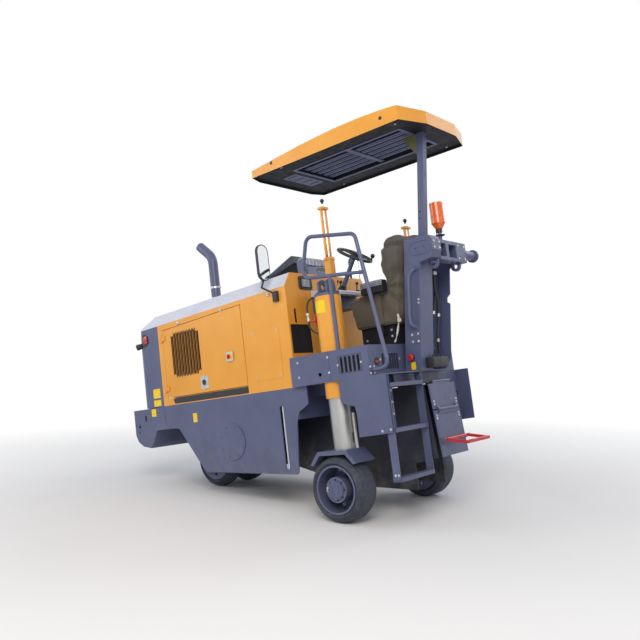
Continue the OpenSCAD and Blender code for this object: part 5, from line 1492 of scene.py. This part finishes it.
# How far the cloth stands in or out: pleats that spread from the waist, a wavy hem, slack at the top
def foldDepth(spot):
    waistX, waistZ = seatLook["waist"]
    reach = math.hypot(spot.x - waistX, spot.z - waistZ)
    angle = math.atan2(spot.z - waistZ, spot.x - waistX)
    side = 1 if spot.y > 0 else -1
    onFlank = between(abs(spot.y), 0.14, 0.21)
    pleats = (math.sin(8 * angle + 11 * reach + 0.9 * side) * between(reach, 0.02, 0.09)
              * (1 - between(reach, 0.16, 0.36)))
    across = math.sin(31 * spot.y + 1.1) * (1 - between(abs(spot.z - waistZ - 0.02), 0.02, 0.16)) * (1 - onFlank)
    slack = 0.5 * math.sin(17 * spot.z + 8 * spot.y + 9 * spot.x) * between(spot.z, 2.02, 2.16)
    corner = math.cos(24 * spot.y) * between(spot.z, 2.38, 2.45)
    skirt = 0.35 * math.sin(9 * spot.x + 7 * spot.y + 21 * spot.z) * (1 - between(spot.z, 1.86, 1.93))
    hem = math.sin(27 * spot.x + 19 * spot.y) * (1 - between(spot.z, 1.66, 1.80)) * between(spot.z, 1.6405, 1.652)
    along = spot.x + 0.5
    dents = 0
    for (height, width, depth), lean, weight in ((seatLook["underFlap"], 0.10, 1),
                                                 (seatLook["underBulge"], -0.25, between(-spot.x, 0.37, 0.46))):
        dents += depth * weight * math.exp(-((spot.z - height - lean * along) / width) ** 2)
    return (seatLook["pleat"] * (pleats * onFlank + 0.7 * across + slack - 0.6 * corner + skirt)
            + seatLook["hemWave"] * hem - dents * (0.35 + 0.65 * onFlank))


def evaluated(piece):
    return bpy.data.meshes.new_from_object(piece.evaluated_get(bpy.context.evaluated_depsgraph_get()))


# Voxel remesh, then cloth blown up by a little pressure, held by a cap on every point
def swellCover(piece):
    remesh = piece.modifiers.new("remesh", "REMESH")
    remesh.mode, remesh.voxel_size = "VOXEL", seatLook["voxel"]
    mesh = evaluated(piece)
    piece.modifiers.clear()
    piece.data = mesh
    for v in mesh.vertices:
        v.co.y *= seatWidth(v.co.z)
    before = [v.co.copy() for v in mesh.vertices]
    cloth = piece.modifiers.new("cloth", "CLOTH")
    cloth.settings.quality = 6
    cloth.settings.use_pressure = True
    cloth.settings.uniform_pressure_force = seatLook["pressure"]
    cloth.settings.effector_weights.gravity = 0
    for step in range(1, seatLook["steps"] + 1):
        scene.frame_set(step)
    swollen = [v.co.copy() for v in evaluated(piece).vertices]
    piece.modifiers.clear()
    scene.frame_set(1)
    for v, old, new in zip(mesh.vertices, before, swollen):
        move = new - old
        if move.length > seatLook["cap"]:
            move *= seatLook["cap"] / move.length
        v.co = old + move
    mesh.update()
    normals = [v.normal.copy() for v in mesh.vertices]
    for v, old, normal in zip(mesh.vertices, before, normals):
        resting = old.z < seatLook["rest"] + seatLook["inset"] + 0.006 and normal.z < -0.6
        moved = holdInside(v.co + normal * foldDepth(v.co))
        moved.z -= seatLook["topSlope"] * moved.y * between(moved.z, 2.28, 2.44)
        v.co = Vector((moved.x, moved.y, seatLook["rest"])) if resting else moved
    mesh.update()
    piece.modifiers.new("smooth", "SUBSURF").levels = 1
    smoothed = evaluated(piece)
    bpy.data.objects.remove(piece)
    return smoothed


def seatBlank():
    shape = bmesh.new()
    outline = insetOutline(seatLook["outline"], seatLook["inset"])
    reach = seatLook["halfWidth"] - seatLook["inset"]
    rows = [[shape.verts.new((x, y, z)) for x, z in outline] for y in (-reach, reach)]
    shape.faces.new(rows[0])
    shape.faces.new(rows[1][::-1])
    for i in range(len(outline)):
        j = (i + 1) % len(outline)
        shape.faces.new((rows[0][i], rows[0][j], rows[1][j], rows[1][i]))
    blank = bpy.data.objects.new("seatBlank", meshFrom(shape, "seatBlank"))
    scene.collection.objects.link(blank)
    return blank


coverMesh = swellCover(seatBlank())
coverMesh.name = "seatCover"
coverTree = BVHTree.FromPolygons([v.co for v in coverMesh.vertices], [p.vertices[:] for p in coverMesh.polygons])
seatCover = finishPiece("seatCover", coverMesh, "seatCanvas", "chassis", 60)
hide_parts("seat_cover")


# Lay a sewn seam on the cloth by looking for the surface from outside
def laidSeam(shape, rays, radius, closed=False):
    spots = []
    for start, way in rays:
        hit = coverTree.ray_cast(Vector(start), Vector(way))[0]
        if hit is not None:
            spots.append(hit - Vector(way).normalized() * radius * 0.35)
    if closed:
        spots.append(spots[0])
    addHose(shape, spots, radius, 8)


def seatSeams(shape):
    radius = seatLook["seamRadius"]
    for side in sides:
        down = (0, -side, 0)
        rise = [((-0.020 - 0.350 * t, side * 0.5, 1.893 + 0.035 * t), down) for t in (i / 12 for i in range(13))]
        rise += [((-0.405 + 0.010 * math.sin(3 * t) - 0.060 * t, side * 0.5, 1.975 + 0.420 * t), down)
                 for t in (i / 14 for i in range(15))]
        laidSeam(shape, rise, radius)
    loop = []
    for i in range(56):
        a = 2 * math.pi * i / 56
        loop.append(((-0.235 + 0.8 * math.cos(a), 0.8 * math.sin(a), seatLook["hem"]), (-math.cos(a), -math.sin(a), 0)))
    laidSeam(shape, loop, radius, closed=True)
    laidSeam(shape, [((-0.470 - 0.030 * abs(y), y, 2.6), (0, 0, -1)) for y in (i * 0.03 for i in range(-6, 7))], radius)


seams = bmesh.new()
seatSeams(seams)
finishPiece("seatSeams", meshFrom(seams, "seatSeams"), "seatCanvas", "chassis", 60)

seatTrim = {"strap": [(-0.512, 0.262, 1.712), (-0.510, 0.258, 1.660), (-0.486, 0.248, 1.590), (-0.455, 0.240, 1.520),
                      (-0.428, 0.236, 1.474)], "strapWidth": 0.018,
            "armrest": (-0.436, -0.204, 0.2695, 0.3325, 2.030),
            "bolts": [(-0.110, 1.530), (-0.385, 1.590), (-0.385, 1.535)]}


@asPiece("strapWhite")
def seatStrap(shape):
    spots = smoothPath(seatTrim["strap"])
    half, thick = seatTrim["strapWidth"] / 2, 0.0011
    rows = []
    for i, spot in enumerate(spots):
        lean = 0.5 * math.sin(0.35 * i)
        wide, out = Vector((math.cos(lean), math.sin(lean), 0)), Vector((-math.sin(lean), math.cos(lean), 0))
        rows.append([shape.verts.new(spot + wide * a * half + out * b * thick)
                     for a, b in ((-1, -1), (1, -1), (1, 1), (-1, 1))])
    joinRings(shape, rows)
    addBlock(shape, (-0.534, 0.2520, 1.640), (-0.502, 0.2680, 1.672), 0.003)


@asPiece("seatCanvas")
def armrestSleeve(shape):  # the cover is drawn round the armrest's bracket
    addBlock(shape, (-0.349, 0.2475, 1.646), (-0.291, 0.2700, 1.927), 0.009)
    for z in (1.70, 1.78, 1.86):
        addHose(shape, [(-0.350, 0.252, z), (-0.342, 0.2675, z + 0.006), (-0.298, 0.2675, z - 0.004),
                        (-0.290, 0.252, z)], 0.0035, 8)


@asPiece("filmGrey")
def armrestRibs(shape):
    x0, x1, y0, y1, z = seatTrim["armrest"]
    for drop in (0.008, 0.023, 0.038):
        addHose(shape, [(x0, y1 + 0.003, z - drop), (x1 - 0.05, y1 + 0.0045, z - drop),
                        (x1, y1 + 0.003, z - drop - 0.006)], 0.0052, 12)
    for i in range(4):
        y = y0 + 0.007 + i * (y1 - y0 - 0.014) / 3
        addHose(shape, [(x0, y, z - 0.001), (x0 + 0.03, y, z + 0.002), (x1 - 0.05, y, z + 0.002),
                        (x1, y, z - 0.004)], 0.0058, 12)


addBolts("seatBaseBolts", [((x, side * 0.2001, z), (0, side, 0)) for x, z in seatTrim["bolts"] for side in sides])
print("seat covered")


# ---- floor, light and camera

floorLook = {"fadeFrom": 2.6, "fadeTo": 7.5}


def addStage():
    mesh = bpy.data.meshes.new("floor")
    reach = 60
    mesh.from_pydata([(-reach, -reach, 0), (reach, -reach, 0), (reach, reach, 0), (-reach, reach, 0)], [],
                     [(0, 1, 2, 3)])
    floor = bpy.data.objects.new("floor", mesh)
    scene.collection.objects.link(floor)
    floor.location.z = -0.0015
    material, tree, shader, coords = startFinish("studioFloor")
    feed(tree, shader, {"Roughness": 0.9, "Base Color": mixColours(
        tree, patchesOf(tree, coords, 0.6, 3, 0.3, 0.7), "#f2f2f2", "#eeeeee")})
    away = calc(tree, "LENGTH", coords, kind="ShaderNodeVectorMath", out="Value")
    faded = calc(tree, "MULTIPLY", remap(tree, away, floorLook["fadeFrom"], floorLook["fadeTo"], 0, 1),
                 addNode(tree, "ShaderNodeLightPath").outputs["Is Camera Ray"])
    white = addNode(tree, "ShaderNodeEmission", {"Color": (1, 1, 1, 1), "Strength": 1.0})
    blend = addNode(tree, "ShaderNodeMixShader", {0: faded, 1: shader.outputs[0], 2: white.outputs[0]})
    feed(tree, tree.nodes["Material Output"], {"Surface": blend.outputs[0]})
    mesh.materials.append(material)


lightLook = {
    "key": {"place": (-5.5, 7.5, 7.0), "size": 5.0, "power": 560, "colour": "#fff6ea"},
    "front": {"place": (7.0, 6.0, 4.5), "size": 4.0, "power": 150, "colour": "#f4f7ff"},
    "rim": {"place": (-3.0, -7.0, 6.0), "size": 4.0, "power": 110, "colour": "#eef3ff"},
}


def addLights():
    for name, look in lightLook.items():
        lamp = bpy.data.lights.new(name + "Light", "AREA")
        lamp.size, lamp.energy = look["size"], look["power"]
        lamp.color = toLinear(look["colour"])[:3]
        holder = bpy.data.objects.new(name + "Light", lamp)
        scene.collection.objects.link(holder)
        holder.location = look["place"]
        holder.rotation_euler = (Vector((0, 0, 1.2)) - holder.location).to_track_quat("-Z", "Y").to_euler()


def setWorld():
    world = bpy.data.worlds.new("studio")
    scene.world = world
    world.use_nodes = True
    tree = world.node_tree
    tree.nodes.clear()
    rays = addNode(tree, "ShaderNodeLightPath").outputs
    seen = rays["Is Camera Ray"]
    for kind in ("Is Glossy Ray", "Is Transmission Ray"):
        seen = addNode(tree, "ShaderNodeMath", {0: seen, 1: rays[kind]}, operation="ADD", use_clamp=True).outputs[0]
    ambient = addNode(tree, "ShaderNodeBackground", {"Color": toLinear("#eef1f8"), "Strength": 0.56})
    backdrop = addNode(tree, "ShaderNodeBackground", {"Color": (1, 1, 1, 1), "Strength": 1.0})
    mix = addNode(tree, "ShaderNodeMixShader", {0: seen, 1: ambient.outputs[0], 2: backdrop.outputs[0]})
    addNode(tree, "ShaderNodeOutputWorld", {"Surface": mix.outputs[0]})


cameraLook = {"lens": 40.85, "place": (-3.95, 5.6, 1.0), "right": (-0.7635, -0.6350, -0.1181),
              "down": (0.1651, -0.0151, -0.9862), "forward": (0.6244, -0.7724, 0.1164)}


def addCamera():
    camera = bpy.data.objects.new("camera", bpy.data.cameras.new("camera"))
    scene.collection.objects.link(camera)
    camera.data.lens, camera.data.sensor_width = cameraLook["lens"], 36
    columns = (Vector(cameraLook["right"]), -Vector(cameraLook["down"]), -Vector(cameraLook["forward"]))
    turn = Matrix([c.normalized() for c in columns]).transposed().to_4x4()
    camera.matrix_world = level @ Matrix.Translation(cameraLook["place"]) @ turn
    scene.camera = camera


addStage()
addLights()
setWorld()
addCamera()
scene.view_settings.view_transform = "Standard"
print("stage, lights and camera set")
